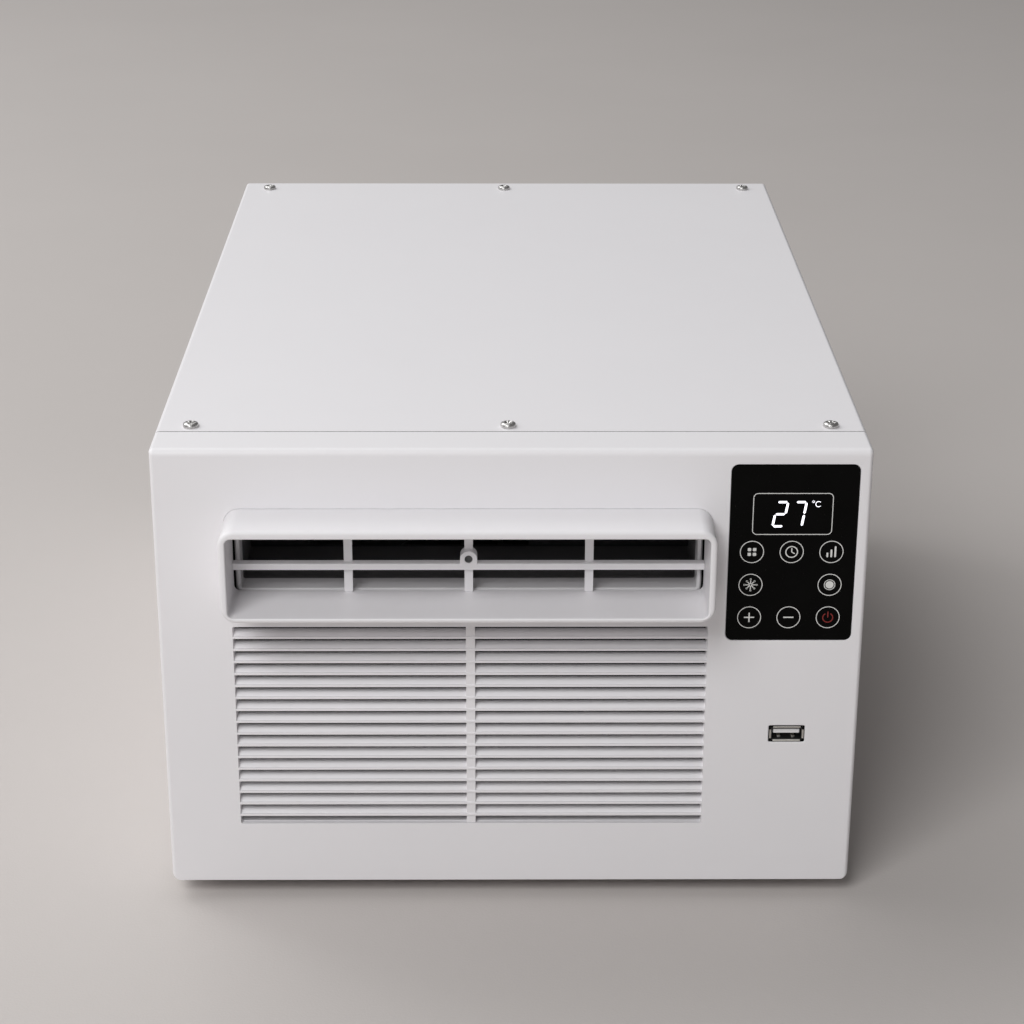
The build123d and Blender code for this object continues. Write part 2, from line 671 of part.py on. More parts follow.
# Intake grille: a frame behind the panel and slanted blades that stand in its opening
with BuildPart() as intake_grille:
    clear_width = GRILLE_WIDTH - 2 * INSERT_PLAY
    clear_height = GRILLE_HEIGHT - 2 * INSERT_PLAY
    with BuildSketch(depth_plane(PANEL_WALL)):
        with Locations((GRILLE_X, GRILLE_Z)):
            Rectangle(GRILLE_WIDTH + 2 * GRILLE_LAP, GRILLE_HEIGHT + 2 * GRILLE_LAP)
            Rectangle(clear_width, clear_height, mode=Mode.SUBTRACT)
    extrude(amount=-GRILLE_FRAME_DEPTH)
    blade_rise = BLADE_DEPTH * sin(radians(BLADE_SLOPE)) / cos(radians(BLADE_SLOPE))
    blade_spots = [
        (FRONT_Y + BLADE_SETBACK, GRILLE_Z + GRILLE_HEIGHT / 2 - BLADE_DROP - row * BLADE_PITCH)
        for row in range(BLADES)
    ]
    with BuildSketch(side_plane(GRILLE_X - clear_width / 2)):
        with Locations(*blade_spots):
            Polygon(
                (0, 0),
                (BLADE_DEPTH, blade_rise),
                (BLADE_DEPTH, blade_rise + BLADE_EDGE),
                (0, BLADE_EDGE),
                align=None,
            )
    extrude(amount=clear_width)
    block(
        depth_plane(BLADE_SETBACK),
        (GRILLE_X, GRILLE_Z),
        (MULLION_WIDTH, clear_height),
        BLADE_SETBACK - GRILLE_BACK,
    )

# Air filter: a ribbed frame, with its mesh laid in the back
with BuildPart() as filter_frame:
    filter_width = GRILLE_WIDTH + 2 * GRILLE_LAP
    filter_height = GRILLE_HEIGHT + 2 * GRILLE_LAP
    inner_width = filter_width - 2 * FILTER_BORDER
    inner_height = filter_height - 2 * FILTER_BORDER
    cell_width = (inner_width - (FILTER_COLUMNS - 1) * FILTER_RIB) / FILTER_COLUMNS
    cell_height = (inner_height - (FILTER_ROWS - 1) * FILTER_RIB) / FILTER_ROWS
    with BuildSketch(depth_plane(GRILLE_BACK)):
        with Locations((GRILLE_X, GRILLE_Z)):
            Rectangle(filter_width, filter_height)
            with GridLocations(
                cell_width + FILTER_RIB, cell_height + FILTER_RIB, FILTER_COLUMNS, FILTER_ROWS
            ):
                Rectangle(cell_width, cell_height, mode=Mode.SUBTRACT)
    extrude(amount=-FILTER_DEPTH)
    block(
        depth_plane(GRILLE_BACK + FILTER_DEPTH),
        (GRILLE_X, GRILLE_Z),
        (inner_width, inner_height),
        MESH_SHEET,
        Mode.SUBTRACT,
    )

with BuildPart() as filter_mesh:
    mesh_back = depth_plane(GRILLE_BACK + FILTER_DEPTH)
    block(mesh_back, (GRILLE_X, GRILLE_Z), (inner_width, inner_height), MESH_SHEET)

# Casing wrap: one sheet bent over the top and both sides
with BuildPart() as casing_wrap:
    wrap_length = DEPTH - WRAP_FRONT
    inner_round = CORNER_ROUND - SHEET
    arch(WRAP_FRONT, 0, HALF, FOOT_HEIGHT, HEIGHT, CORNER_ROUND, wrap_length)
    arch(
        WRAP_FRONT, 0, HALF - SHEET, FOOT_HEIGHT, HEIGHT - SHEET, inner_round, wrap_length, Mode.SUBTRACT
    )
    wrap_holes = [(x, FRONT_Y + depth) for x in top_screw_xs for depth in top_screw_depths]
    pegs(level_plane(HEIGHT), wrap_holes, SCREW_HOLE_RADIUS, -SHEET, SCREW_SIDES, Mode.SUBTRACT)
    side_holes = [(FRONT_Y + depth, low_screw_z) for depth in side_screw_depths]
    for side in (-1, 1):
        sheet_face = side_plane(side * HALF)
        pegs(sheet_face, side_holes, SCREW_HOLE_RADIUS, -side * SHEET, SCREW_SIDES, Mode.SUBTRACT)
        with BuildSketch(sheet_face):
            with Locations((FRONT_Y + SIDE_SLOT_DEPTH, SIDE_SLOT_Z)):
                with GridLocations(SIDE_SLOT_LENGTH, SIDE_SLOT_PITCH, 1, SIDE_SLOT_ROWS):
                    Rectangle(SIDE_SLOT_LENGTH, SLOT_HEIGHT)
        extrude(amount=-side * SHEET, mode=Mode.SUBTRACT)

# Rear panel: a slotted sheet with forward flanges under the wrap
with BuildPart() as rear_panel:
    flange_front = DEPTH - REAR_FLANGE
    flange_inset = LAP + SHEET
    arch(
        flange_front, 0, PAN_HALF, FOOT_HEIGHT, HEIGHT - LAP, CORNER_ROUND - LAP, REAR_FLANGE
    )
    arch(
        flange_front,
        0,
        HALF - flange_inset,
        FOOT_HEIGHT,
        HEIGHT - flange_inset,
        CORNER_ROUND - flange_inset,
        REAR_FLANGE - SHEET,
        Mode.SUBTRACT,
    )
    foot_cut = (WIDTH, 2 * (FLANGE + LAP))
    block(depth_plane(flange_front), (0, FOOT_HEIGHT), foot_cut, SHEET - REAR_FLANGE, Mode.SUBTRACT)
    with BuildSketch(depth_plane(DEPTH)):
        with Locations((REAR_SLOT_X, REAR_SLOT_Z)):
            with GridLocations(REAR_SLOT_PITCH_X, REAR_SLOT_PITCH_Z, REAR_SLOT_COLUMNS, REAR_SLOT_ROWS):
                Rectangle(REAR_SLOT_WIDTH, SLOT_HEIGHT)
        with Locations((GLAND_X, GLAND_Z)):
            RegularPolygon(GLAND_RADIUS + INSERT_PLAY, SCREW_SIDES, major_radius=False)
        with Locations((SPOUT_X, SPOUT_Z)):
            RegularPolygon(SPOUT_NECK + INSERT_PLAY, ROUND_SIDES, major_radius=False)
        with Locations(*rear_screw_spots):
            RegularPolygon(SCREW_HOLE_RADIUS, SCREW_SIDES, major_radius=False)
    extrude(amount=SHEET, mode=Mode.SUBTRACT)
    rear_holes = [(x, FRONT_Y + DEPTH - REAR_SCREW_INSET) for x in top_screw_xs]
    pegs(level_plane(HEIGHT - LAP), rear_holes, SCREW_HOLE_RADIUS, -SHEET, SCREW_SIDES, Mode.SUBTRACT)

# Base pan: a shallow tray with upright flanges
with BuildPart() as base_pan:
    pan_middle = (0, FRONT_Y + (PAN_FRONT + PAN_BACK) / 2)
    pan_length = PAN_BACK - PAN_FRONT
    block(level_plane(FOOT_HEIGHT), pan_middle, (2 * PAN_HALF, pan_length), FLANGE)
    chamfer(base_pan.faces().sort_by(Axis.Z)[0].edges(), BEND_CHAMFER)
    block(
        level_plane(FLOOR_TOP),
        pan_middle,
        (2 * (PAN_HALF - SHEET), pan_length - 2 * SHEET),
        FLANGE,
        Mode.SUBTRACT,
    )
    foot_spots = [(x, FRONT_Y + depth) for x in (-FOOT_X, FOOT_X) for depth in foot_depths]
    stud_places = [(x, FRONT_Y + depth) for x, depth in stud_spots]
    under = level_plane(FOOT_HEIGHT)
    pegs(under, foot_spots, FOOT_STEM_RADIUS + FOOT_STEM_PLAY, SHEET, SCREW_SIDES, Mode.SUBTRACT)
    pegs(under, stud_places, STUD_RADIUS + SCREW_PLAY, SHEET, BOLT_SIDES, Mode.SUBTRACT)
    for side in (-1, 1):
        flange_face = side_plane(side * PAN_HALF)
        pegs(flange_face, side_holes, SCREW_HOLE_RADIUS, -side * SHEET, SCREW_SIDES, Mode.SUBTRACT)
    pan_back = depth_plane(PAN_BACK)
    pegs(pan_back, rear_screw_spots, SCREW_HOLE_RADIUS, SHEET, SCREW_SIDES, Mode.SUBTRACT)
    spout_spot = [(SPOUT_X, SPOUT_Z)]
    pegs(pan_back, spout_spot, SPOUT_NECK + INSERT_PLAY, SHEET, ROUND_SIDES, Mode.SUBTRACT)

# Rubber feet: round pads that widen upwards, with a stem through the pan
with BuildPart() as rubber_feet:
    with BuildSketch(level_plane(FOOT_HEIGHT)):
        with Locations(*foot_spots):
            RegularPolygon(FOOT_RADIUS, ROUND_SIDES, major_radius=False)
    extrude(amount=-FOOT_HEIGHT, taper=FOOT_TAPER)
    pegs(level_plane(FOOT_HEIGHT), foot_spots, FOOT_STEM_RADIUS, SHEET, SCREW_SIDES)

# Pan-head screws of the top, the sides and the back
with BuildPart() as casing_screws:
    pegs(level_plane(HEIGHT), wrap_holes, SCREW_HEAD_RADIUS, SCREW_HEAD_HEIGHT, SCREW_SIDES)
    pegs(level_plane(HEIGHT), wrap_holes, SCREW_SHANK_RADIUS, -SCREW_LENGTH, SCREW_SIDES)
    for side in (-1, 1):
        wall = side_plane(side * HALF)
        pegs(wall, side_holes, SCREW_HEAD_RADIUS, side * SCREW_HEAD_HEIGHT, SCREW_SIDES)
        pegs(wall, side_holes, SCREW_SHANK_RADIUS, -side * SCREW_LENGTH, SCREW_SIDES)
    pegs(depth_plane(DEPTH), rear_screw_spots, SCREW_HEAD_RADIUS, -SCREW_HEAD_HEIGHT, SCREW_SIDES)
    pegs(depth_plane(DEPTH), rear_screw_spots, SCREW_SHANK_RADIUS, SCREW_LENGTH, SCREW_SIDES)

# Drain spout and cord gland at the back
with BuildPart() as drain_spout:
    flange_depth = PAN_BACK - SHEET - SPOUT_FLANGE_SHEET
    spout_front = depth_plane(flange_depth)
    flange_width = 2 * (SPOUT_NECK + SPOUT_FLANGE)
    block(spout_front, spout_spot[0], (flange_width, flange_width), -SPOUT_FLANGE_SHEET)
    pegs(spout_front, spout_spot, SPOUT_NECK, flange_depth - DEPTH, ROUND_SIDES)
    rods(depth_plane(DEPTH), spout_spot, SPOUT_RADIUS, -SPOUT_OUT)
    spout_length = DEPTH + SPOUT_OUT - flange_depth
    pegs(spout_front, spout_spot, SPOUT_BORE, -spout_length, ROUND_SIDES, Mode.SUBTRACT)

with BuildPart() as cord_gland:
    gland_end = DEPTH + GLAND_FLANGE_SHEET
    gland_spot = [(GLAND_X, GLAND_Z)]
    gland_flange = GLAND_RADIUS + GLAND_FLANGE
    pegs(depth_plane(DEPTH), gland_spot, gland_flange, -GLAND_FLANGE_SHEET, 2 * SCREW_SIDES)
    pegs(depth_plane(gland_end), gland_spot, GLAND_RADIUS, GLAND_LENGTH, SCREW_SIDES)
    rods(depth_plane(gland_end), gland_spot, GLAND_BORE, GLAND_LENGTH, Mode.SUBTRACT)

# Touch panel, with its display and board behind
with BuildPart() as touch_panel:
    with BuildSketch(depth_plane(0)):
        with Locations((TOUCH_X, TOUCH_Z)):
            RectangleRounded(TOUCH_WIDTH, TOUCH_HEIGHT, TOUCH_CORNER)
    extrude(amount=-TOUCH_SHEET)

with BuildPart() as display_board:
    block(depth_plane(BOARD_FRONT), (TOUCH_X, TOUCH_Z), (TOUCH_WIDTH, TOUCH_HEIGHT), -BOARD_SHEET)

with BuildPart() as display_module:
    display_size = (DISPLAY_WIDTH, DISPLAY_HEIGHT)
    block(depth_plane(TOUCH_SHEET), (KEY_X, DISPLAY_Z), display_size, TOUCH_SHEET - BOARD_FRONT)

with BuildPart() as touch_pads:
    pegs(depth_plane(TOUCH_SHEET), key_spots, PAD_RADIUS, TOUCH_SHEET - BOARD_FRONT, PAD_SIDES)

# USB socket: a folded shell with flared lips, its tongue and a small board
with BuildPart() as usb_shell:
    block(depth_plane(0), (USB_X, USB_Z), (USB_WIDTH, USB_HEIGHT), -USB_LENGTH)
    shell_inside = (USB_WIDTH - 2 * USB_SHEET, USB_HEIGHT - 2 * USB_SHEET)
    block(depth_plane(0), (USB_X, USB_Z), shell_inside, USB_SHEET - USB_LENGTH, Mode.SUBTRACT)
    lip_middle_x = (USB_WIDTH + USB_LIP) / 2 - USB_SHEET / 2
    lip_middle_z = (USB_HEIGHT + USB_LIP) / 2 - USB_SHEET / 2
    for side in (-1, 1):
        block(
            depth_plane(0),
            (USB_X + side * lip_middle_x, USB_Z),
            (USB_LIP + USB_SHEET, USB_HEIGHT - USB_LIP_GAP),
            -USB_SHEET,
        )
        block(
            depth_plane(0),
            (USB_X, USB_Z + side * lip_middle_z),
            (USB_WIDTH - USB_LIP_GAP, USB_LIP + USB_SHEET),
            -USB_SHEET,
        )

with BuildPart() as usb_tongue:
    cavity_back = USB_LENGTH - USB_SHEET
    block(depth_plane(cavity_back), (USB_X, USB_Z), shell_inside, USB_BACK)
    tongue_z = USB_Z + shell_inside[1] / 2 - USB_TONGUE_GAP - USB_TONGUE_HEIGHT / 2
    tongue_size = (USB_TONGUE_WIDTH, USB_TONGUE_HEIGHT)
    block(depth_plane(cavity_back), (USB_X, tongue_z), tongue_size, cavity_back - USB_TONGUE_SETBACK)

with BuildPart() as usb_board:
    board_z = USB_BOARD_TOP - BOARD_SHEET / 2
    block(depth_plane(PANEL_WALL), (USB_X, board_z), (USB_BOARD_WIDTH, BOARD_SHEET), -USB_BOARD_LENGTH)


def coil_fins(middle_x, width, count, depth, low, high):
    """Upright fin plates of a heat exchanger, evenly spaced across its width."""
    with BuildPart() as fins:
        with BuildSketch(level_plane(low - FIN_MARGIN)):
            with Locations((middle_x, FRONT_Y + depth + COIL_DEPTH / 2)):
                with GridLocations((width - FIN_SHEET) / (count - 1), COIL_DEPTH, count, 1):
                    Rectangle(FIN_SHEET, COIL_DEPTH)
        extrude(amount=high - low + 2 * FIN_MARGIN)
    return fins


def coil_tube(middle_x, width, depth, low, high, runs):
    """One serpentine tube: level runs with half-round return bends, both ends on the right."""
    reach = width / 2 + SHEET + COIL_END_STUB
    pitch = (high - low) / (runs - 1)
    bend = pitch / 2
    route = []
    for run in range(runs):
        z = low + run * pitch
        side = -1 if run % 2 == 0 else 1
        route.append(place(middle_x - side * reach, depth, z))
        route.append(place(middle_x + side * reach, depth, z))
        for angle in (-45, 0, 45) if run < runs - 1 else ():
            out = reach + bend * cos(radians(angle))
            route.append(place(middle_x + side * out, depth, z + bend + bend * sin(radians(angle))))
    return bent_tube(route, COIL_TUBE_RADIUS, across=(0, 1, 0))


def coil_plates(middle_x, width, front, back, depth, low, high, runs):
    """The two end plates of a heat exchanger, with a hole for each tube run."""
    with BuildPart() as plates:
        for side in (-1, 1):
            face = side_plane(middle_x + side * width / 2)
            middle = (FRONT_Y + (front + back) / 2, (low + high) / 2)
            block(face, middle, (back - front, high - low + 2 * FIN_MARGIN), side * SHEET)
            pitch = (high - low) / (runs - 1)
            runs_spots = [(FRONT_Y + depth, low + run * pitch) for run in range(runs)]
            hole = COIL_TUBE_RADIUS + TUBE_PLAY
            pegs(face, runs_spots, hole, side * SHEET, TUBE_SIDES, Mode.SUBTRACT)
    return plates


# Evaporator behind the filter
evaporator_fins = coil_fins(
    EVAPORATOR_X, EVAPORATOR_WIDTH, EVAPORATOR_FINS, EVAPORATOR_FRONT, EVAPORATOR_LOW, EVAPORATOR_TOP
)
evaporator_tubes = coil_tube(
    EVAPORATOR_X, EVAPORATOR_WIDTH, EVAPORATOR_MIDDLE, EVAPORATOR_LOW, EVAPORATOR_TOP, EVAPORATOR_RUNS
)
evaporator_plates = coil_plates(
    EVAPORATOR_X,
    EVAPORATOR_WIDTH,
    EVAPORATOR_FRONT,
    ORIFICE_FRONT,
    EVAPORATOR_MIDDLE,
    EVAPORATOR_LOW,
    EVAPORATOR_TOP,
    EVAPORATOR_RUNS,
)

# Drain tray under the evaporator
with BuildPart() as drain_tray:
    tray_middle = (EVAPORATOR_X, FRONT_Y + (PAN_FRONT + SHEET + ORIFICE_FRONT) / 2)
    tray_length = ORIFICE_FRONT - PAN_FRONT - SHEET
    tray_width = EVAPORATOR_WIDTH + 4 * COIL_END_STUB
    block(level_plane(FLOOR_TOP), tray_middle, (tray_width, tray_length), TRAY_HEIGHT)
    block(
        level_plane(FLOOR_TOP + TRAY_WALL),
        tray_middle,
        (tray_width - 2 * TRAY_WALL, tray_length - 2 * TRAY_WALL),
        TRAY_HEIGHT,
        Mode.SUBTRACT,
    )

# Orifice plate: the blower's inlet, with a turned-in lip, and a window for the outlet duct
with BuildPart() as orifice_plate:
    air_box_middle = (HOOD_X, (FLOOR_TOP + AIR_BOX_TOP) / 2)
    air_box_size = (AIR_BOX_WIDTH, AIR_BOX_TOP - FLOOR_TOP)
    duct_inside = (DUCT_WIDTH - 2 * DUCT_WALL, DUCT_HEIGHT - 2 * DUCT_WALL)
    block(depth_plane(ORIFICE_FRONT), air_box_middle, air_box_size, -ORIFICE_SHEET)
    wheel(SCROLL_FRONT, ORIFICE_RADIUS + ORIFICE_SHEET, ORIFICE_LIP)
    wheel(ORIFICE_FRONT, ORIFICE_RADIUS, ORIFICE_SHEET + ORIFICE_LIP, Mode.SUBTRACT)
    block(depth_plane(ORIFICE_FRONT), (HOOD_X, HOOD_INNER_Z), duct_inside, -ORIFICE_SHEET, Mode.SUBTRACT)

# Scroll housing: a foam block whose spiral opens upwards into the outlet chamber
with BuildPart() as scroll_housing:
    block(depth_plane(SCROLL_FRONT), air_box_middle, air_box_size, -SCROLL_DEPTH)
    spiral = BLOWER_RADIUS + SCROLL_PLAY
    chamber_floor = HOOD_INNER_Z - duct_inside[1] / 2
    tongue_tip = (
        SHAFT_X + spiral * cos(radians(TONGUE_ANGLE)),
        SHAFT_Z + spiral * sin(radians(TONGUE_ANGLE)),
    )
    with BuildSketch(depth_plane(SCROLL_FRONT)):
        with BuildLine():
            heading = (sin(radians(TONGUE_ANGLE)), -cos(radians(TONGUE_ANGLE)))
            first = JernArc(tongue_tip, heading, spiral, -90 - TONGUE_ANGLE)
            second = JernArc(first @ 1, (-1, 0), spiral + SCROLL_GROWTH, -90)
            Polyline(
                second @ 1,
                ((second @ 1).X, chamber_floor + TRAY_WALL),
                (SHAFT_X + TONGUE_X + PART_MARGIN, chamber_floor + TRAY_WALL),
                tongue_tip,
            )
        make_face()
        with Locations((HOOD_X, HOOD_INNER_Z)):
            Rectangle(*duct_inside)
    extrude(amount=SCROLL_BACK_WALL - SCROLL_DEPTH, mode=Mode.SUBTRACT)
    wheel(SCROLL_FRONT, BULKHEAD_HOLE, SCROLL_DEPTH, Mode.SUBTRACT)

# Bulkhead between the cold and hot sides, standing on the pan
with BuildPart() as bulkhead:
    bulkhead_half = PAN_HALF - SHEET - BULKHEAD_PLAY
    bulkhead_top = HEIGHT - SHEET - BULKHEAD_TOP_GAP
    bulkhead_middle = (0, (FLOOR_TOP + bulkhead_top) / 2)
    bulkhead_size = (2 * bulkhead_half, bulkhead_top - FLOOR_TOP)
    block(depth_plane(BULKHEAD_FRONT), bulkhead_middle, bulkhead_size, -SHEET)
    foot_middle = (0, FRONT_Y + BULKHEAD_FRONT + BULKHEAD_FOOT / 2)
    block(level_plane(FLOOR_TOP), foot_middle, (2 * bulkhead_half, BULKHEAD_FOOT), SHEET)
    wheel(BULKHEAD_FRONT, BULKHEAD_HOLE, SHEET, Mode.SUBTRACT)
    for spot, radius in (
        ((ACCUMULATOR_X, EVAPORATOR_TOP), PIPE_RADIUS),
        ((CAPILLARY_X, CAPILLARY_Z), CAPILLARY_RADIUS),
    ):
        hole = radius + PIPE_HOLE_PLAY
        pegs(depth_plane(BULKHEAD_FRONT), [spot], hole, -SHEET, TUBE_SIDES, Mode.SUBTRACT)

# Blower wheel: forward-curved blades between a ring and a back plate on a hub
with BuildPart() as blower_wheel:
    ring_inner = BLOWER_RADIUS - BLOWER_RING
    blade_inner = ring_inner + BLOWER_BLADE_LAP
    blade_outer = BLOWER_RADIUS - BLOWER_BLADE_LAP
    blade_middle = (blade_inner + blade_outer) / 2
    dip = BLOWER_BLADE_SWEEP / 2 - BLOWER_BLADE_BOW
    with BuildSketch(depth_plane(BLOWER_FRONT)):
        with Locations((SHAFT_X, SHAFT_Z)):
            with PolarLocations(0, BLOWER_BLADES):
                Polygon(
                    (blade_inner, 0),
                    (blade_middle, dip),
                    (blade_outer, BLOWER_BLADE_SWEEP),
                    (blade_middle, dip + BLOWER_BLADE_SHEET),
                    align=None,
                )
    extrude(amount=-BLOWER_LENGTH)
    wheel(BLOWER_FRONT, BLOWER_RADIUS, BLOWER_SHEET)
    wheel(BLOWER_FRONT, ring_inner, BLOWER_SHEET, Mode.SUBTRACT)
    wheel(BLOWER_BACK - BLOWER_SHEET, BLOWER_RADIUS, BLOWER_SHEET)
    pegs(depth_plane(BLOWER_BACK - HUB_LENGTH), [(SHAFT_X, SHAFT_Z)], HUB_RADIUS, -HUB_LENGTH, ROUND_SIDES)
    disc(BLOWER_BACK - HUB_LENGTH, SHAFT_RADIUS + SHAFT_PLAY, HUB_LENGTH, Mode.SUBTRACT)

# Shaft through the bulkhead and the motor
with BuildPart() as drive_shaft:
    disc(SHAFT_FRONT, SHAFT_RADIUS, SHAFT_BACK - SHAFT_FRONT)


def blade_plane(angle):
    """The plane of a fan blade: its own x runs outwards and its y along the pitched chord."""
    outwards = Vector(cos(radians(angle)), 0, sin(radians(angle)))
    around = Vector(-sin(radians(angle)), 0, cos(radians(angle)))
    chord = around * cos(radians(FAN_PITCH)) + Vector(0, 1, 0) * sin(radians(FAN_PITCH))
    return Plane(origin=place(SHAFT_X, FAN_MIDDLE, SHAFT_Z), x_dir=outwards, z_dir=outwards.cross(chord))


# Condenser fan: pitched blades on a hub, tied by a slinger ring
with BuildPart() as condenser_fan:
    fan_hub_front = FAN_MIDDLE - FAN_HUB_LENGTH / 2
    blade_root = FAN_HUB_RADIUS - FAN_SINK
    blade_tip = FAN_RADIUS - FAN_RING_SHEET + FAN_SINK
    for number in range(FAN_BLADES):
        with BuildSketch(blade_plane(number * 360 / FAN_BLADES)):
            Polygon(
                (blade_root, -FAN_CHORD_ROOT / 2),
                (blade_tip, -FAN_CHORD_TIP / 2),
                (blade_tip, FAN_CHORD_TIP / 2),
                (blade_root, FAN_CHORD_ROOT / 2),
                align=None,
            )
        extrude(amount=FAN_BLADE_SHEET / 2, both=True)
    with BuildSketch(depth_plane(FAN_MIDDLE - FAN_RING_LENGTH / 2)):
        with Locations((SHAFT_X, SHAFT_Z)):
            RegularPolygon(FAN_RADIUS, WHEEL_SIDES, major_radius=False)
            RegularPolygon(FAN_RADIUS - FAN_RING_SHEET, WHEEL_SIDES, major_radius=False, mode=Mode.SUBTRACT)
    extrude(amount=-FAN_RING_LENGTH)
    wheel(fan_hub_front, FAN_HUB_RADIUS, FAN_HUB_LENGTH)
    disc(fan_hub_front, SHAFT_RADIUS + SHAFT_PLAY, FAN_HUB_LENGTH, Mode.SUBTRACT)

# Fan motor: a closed can and two sleeve bearings
with BuildPart() as motor_case:
    wheel(MOTOR_FRONT, MOTOR_RADIUS, MOTOR_LENGTH)
    shaft_spot = [(SHAFT_X, SHAFT_Z)]
    seat = BEARING_RADIUS + SEAT_PLAY
    pegs(depth_plane(MOTOR_FRONT), shaft_spot, seat, -MOTOR_LENGTH, ROUND_SIDES, Mode.SUBTRACT)
    bolt_hole = MOTOR_BOLT_RADIUS + SCREW_PLAY
    bolt_reach = MOTOR_BOLT_LENGTH - BRACKET_SHEET
    pegs(depth_plane(MOTOR_BACK), motor_bolt_spots, bolt_hole, bolt_reach, BOLT_SIDES, Mode.SUBTRACT)

with BuildPart() as motor_bearings:
    for bearing_front in (MOTOR_FRONT, MOTOR_BACK - BEARING_LENGTH):
        pegs(depth_plane(bearing_front), shaft_spot, BEARING_RADIUS, -BEARING_LENGTH, ROUND_SIDES)
    disc(MOTOR_FRONT, SHAFT_RADIUS + SHAFT_PLAY, MOTOR_LENGTH, Mode.SUBTRACT)

# Motor bracket: an upright plate behind the motor with a foot on the pan
with BuildPart() as motor_bracket:
    bracket_width = 2 * (MOTOR_RADIUS + BRACKET_MARGIN)
    bracket_top = SHAFT_Z + MOTOR_RADIUS + BRACKET_MARGIN
    bracket_half = bracket_width / 2
    with BuildSketch(depth_plane(MOTOR_BACK)):
        with Locations((SHAFT_X, 0)):
            Polygon(
                (-bracket_half, FLOOR_TOP),
                (bracket_half, FLOOR_TOP),
                (bracket_half, bracket_top - BRACKET_CORNER),
                (bracket_half - BRACKET_CORNER, bracket_top),
                (BRACKET_CORNER - bracket_half, bracket_top),
                (-bracket_half, bracket_top - BRACKET_CORNER),
                align=None,
            )
    extrude(amount=-BRACKET_SHEET)
    bracket_foot = (SHAFT_X, FRONT_Y + MOTOR_BACK + BRACKET_FOOT / 2)
    block(level_plane(FLOOR_TOP), bracket_foot, (bracket_width, BRACKET_FOOT), BRACKET_SHEET)
    pegs(depth_plane(MOTOR_BACK), shaft_spot, BEARING_BOSS, -BRACKET_SHEET, ROUND_SIDES, Mode.SUBTRACT)
    pegs(depth_plane(MOTOR_BACK), motor_bolt_spots, bolt_hole, -BRACKET_SHEET, BOLT_SIDES, Mode.SUBTRACT)

with BuildPart() as motor_bolts:
    bracket_back = depth_plane(MOTOR_BACK + BRACKET_SHEET)
    pegs(bracket_back, motor_bolt_spots, BOLT_HEAD_RADIUS, -BOLT_HEAD_HEIGHT, BOLT_SIDES)
    pegs(bracket_back, motor_bolt_spots, MOTOR_BOLT_RADIUS, MOTOR_BOLT_LENGTH, BOLT_SIDES)

# Fan shroud: a plate on the pan with a ring round the fan
with BuildPart() as fan_shroud:
    shroud_middle = (SHROUD_X, FLOOR_TOP + SHROUD_HEIGHT / 2)
    block(depth_plane(SHROUD_FRONT), shroud_middle, (SHROUD_WIDTH, SHROUD_HEIGHT), -SHROUD_SHEET)
    ring_front = SHROUD_BACK - SHROUD_LENGTH
    wheel(ring_front, FAN_RADIUS + SHROUD_PLAY + SHROUD_SHEET, SHROUD_LENGTH)
    wheel(ring_front, FAN_RADIUS + SHROUD_PLAY, SHROUD_LENGTH, Mode.SUBTRACT)

# Condenser at the back
condenser_fins = coil_fins(
    CONDENSER_X, CONDENSER_WIDTH, CONDENSER_FINS, CONDENSER_FRONT, CONDENSER_LOW, CONDENSER_TOP
)
condenser_tubes = coil_tube(
    CONDENSER_X, CONDENSER_WIDTH, CONDENSER_MIDDLE, CONDENSER_LOW, CONDENSER_TOP, CONDENSER_RUNS
)
condenser_plates = coil_plates(
    CONDENSER_X,
    CONDENSER_WIDTH,
    SHROUD_BACK,
    CONDENSER_BACK,
    CONDENSER_MIDDLE,
    CONDENSER_LOW,
    CONDENSER_TOP,
    CONDENSER_RUNS,
)

# Compressor: a welded can on a three-lobed foot plate, with a suction and a discharge port
with BuildPart() as compressor:
    with BuildSketch(level_plane(PLATE_LOW)):
        with Locations(*stud_places):
            RegularPolygon(COMPRESSOR_LOBE, BOLT_SIDES, major_radius=False)
        make_hull()
    extrude(amount=COMPRESSOR_PLATE)
    neck_hole = GROMMET_NECK + GROMMET_PLAY
    pegs(level_plane(PLATE_LOW), stud_places, neck_hole, COMPRESSOR_PLATE, BOLT_SIDES, Mode.SUBTRACT)
    can_middle = [(COMPRESSOR_X, FRONT_Y + COMPRESSOR_DEPTH)]
    can_height = COMPRESSOR_HEIGHT - COMPRESSOR_SHOULDER
    pegs(level_plane(SHELL_LOW), can_middle, COMPRESSOR_RADIUS, can_height, WHEEL_SIDES)
    with BuildSketch(level_plane(SHELL_LOW + can_height)):
        with Locations(*can_middle):
            RegularPolygon(COMPRESSOR_RADIUS, WHEEL_SIDES, major_radius=False)
    extrude(amount=COMPRESSOR_SHOULDER, taper=SHOULDER_TAPER)
    pegs(level_plane(SHELL_TOP), can_middle, PIPE_RADIUS, PORT_LENGTH, TUBE_SIDES)
    cap_spot = [(COMPRESSOR_X - CAP_OFFSET, FRONT_Y + COMPRESSOR_DEPTH)]
    pegs(level_plane(SHELL_TOP), cap_spot, CAP_RADIUS, CAP_HEIGHT, TUBE_SIDES)
    port_face = depth_plane(COMPRESSOR_DEPTH - COMPRESSOR_RADIUS - PORT_LENGTH)
    port_length = (COMPRESSOR_RADIUS + PORT_LENGTH) / 2
    pegs(port_face, [(ACCUMULATOR_X, SUCTION_LOW)], PIPE_RADIUS, -port_length, TUBE_SIDES)

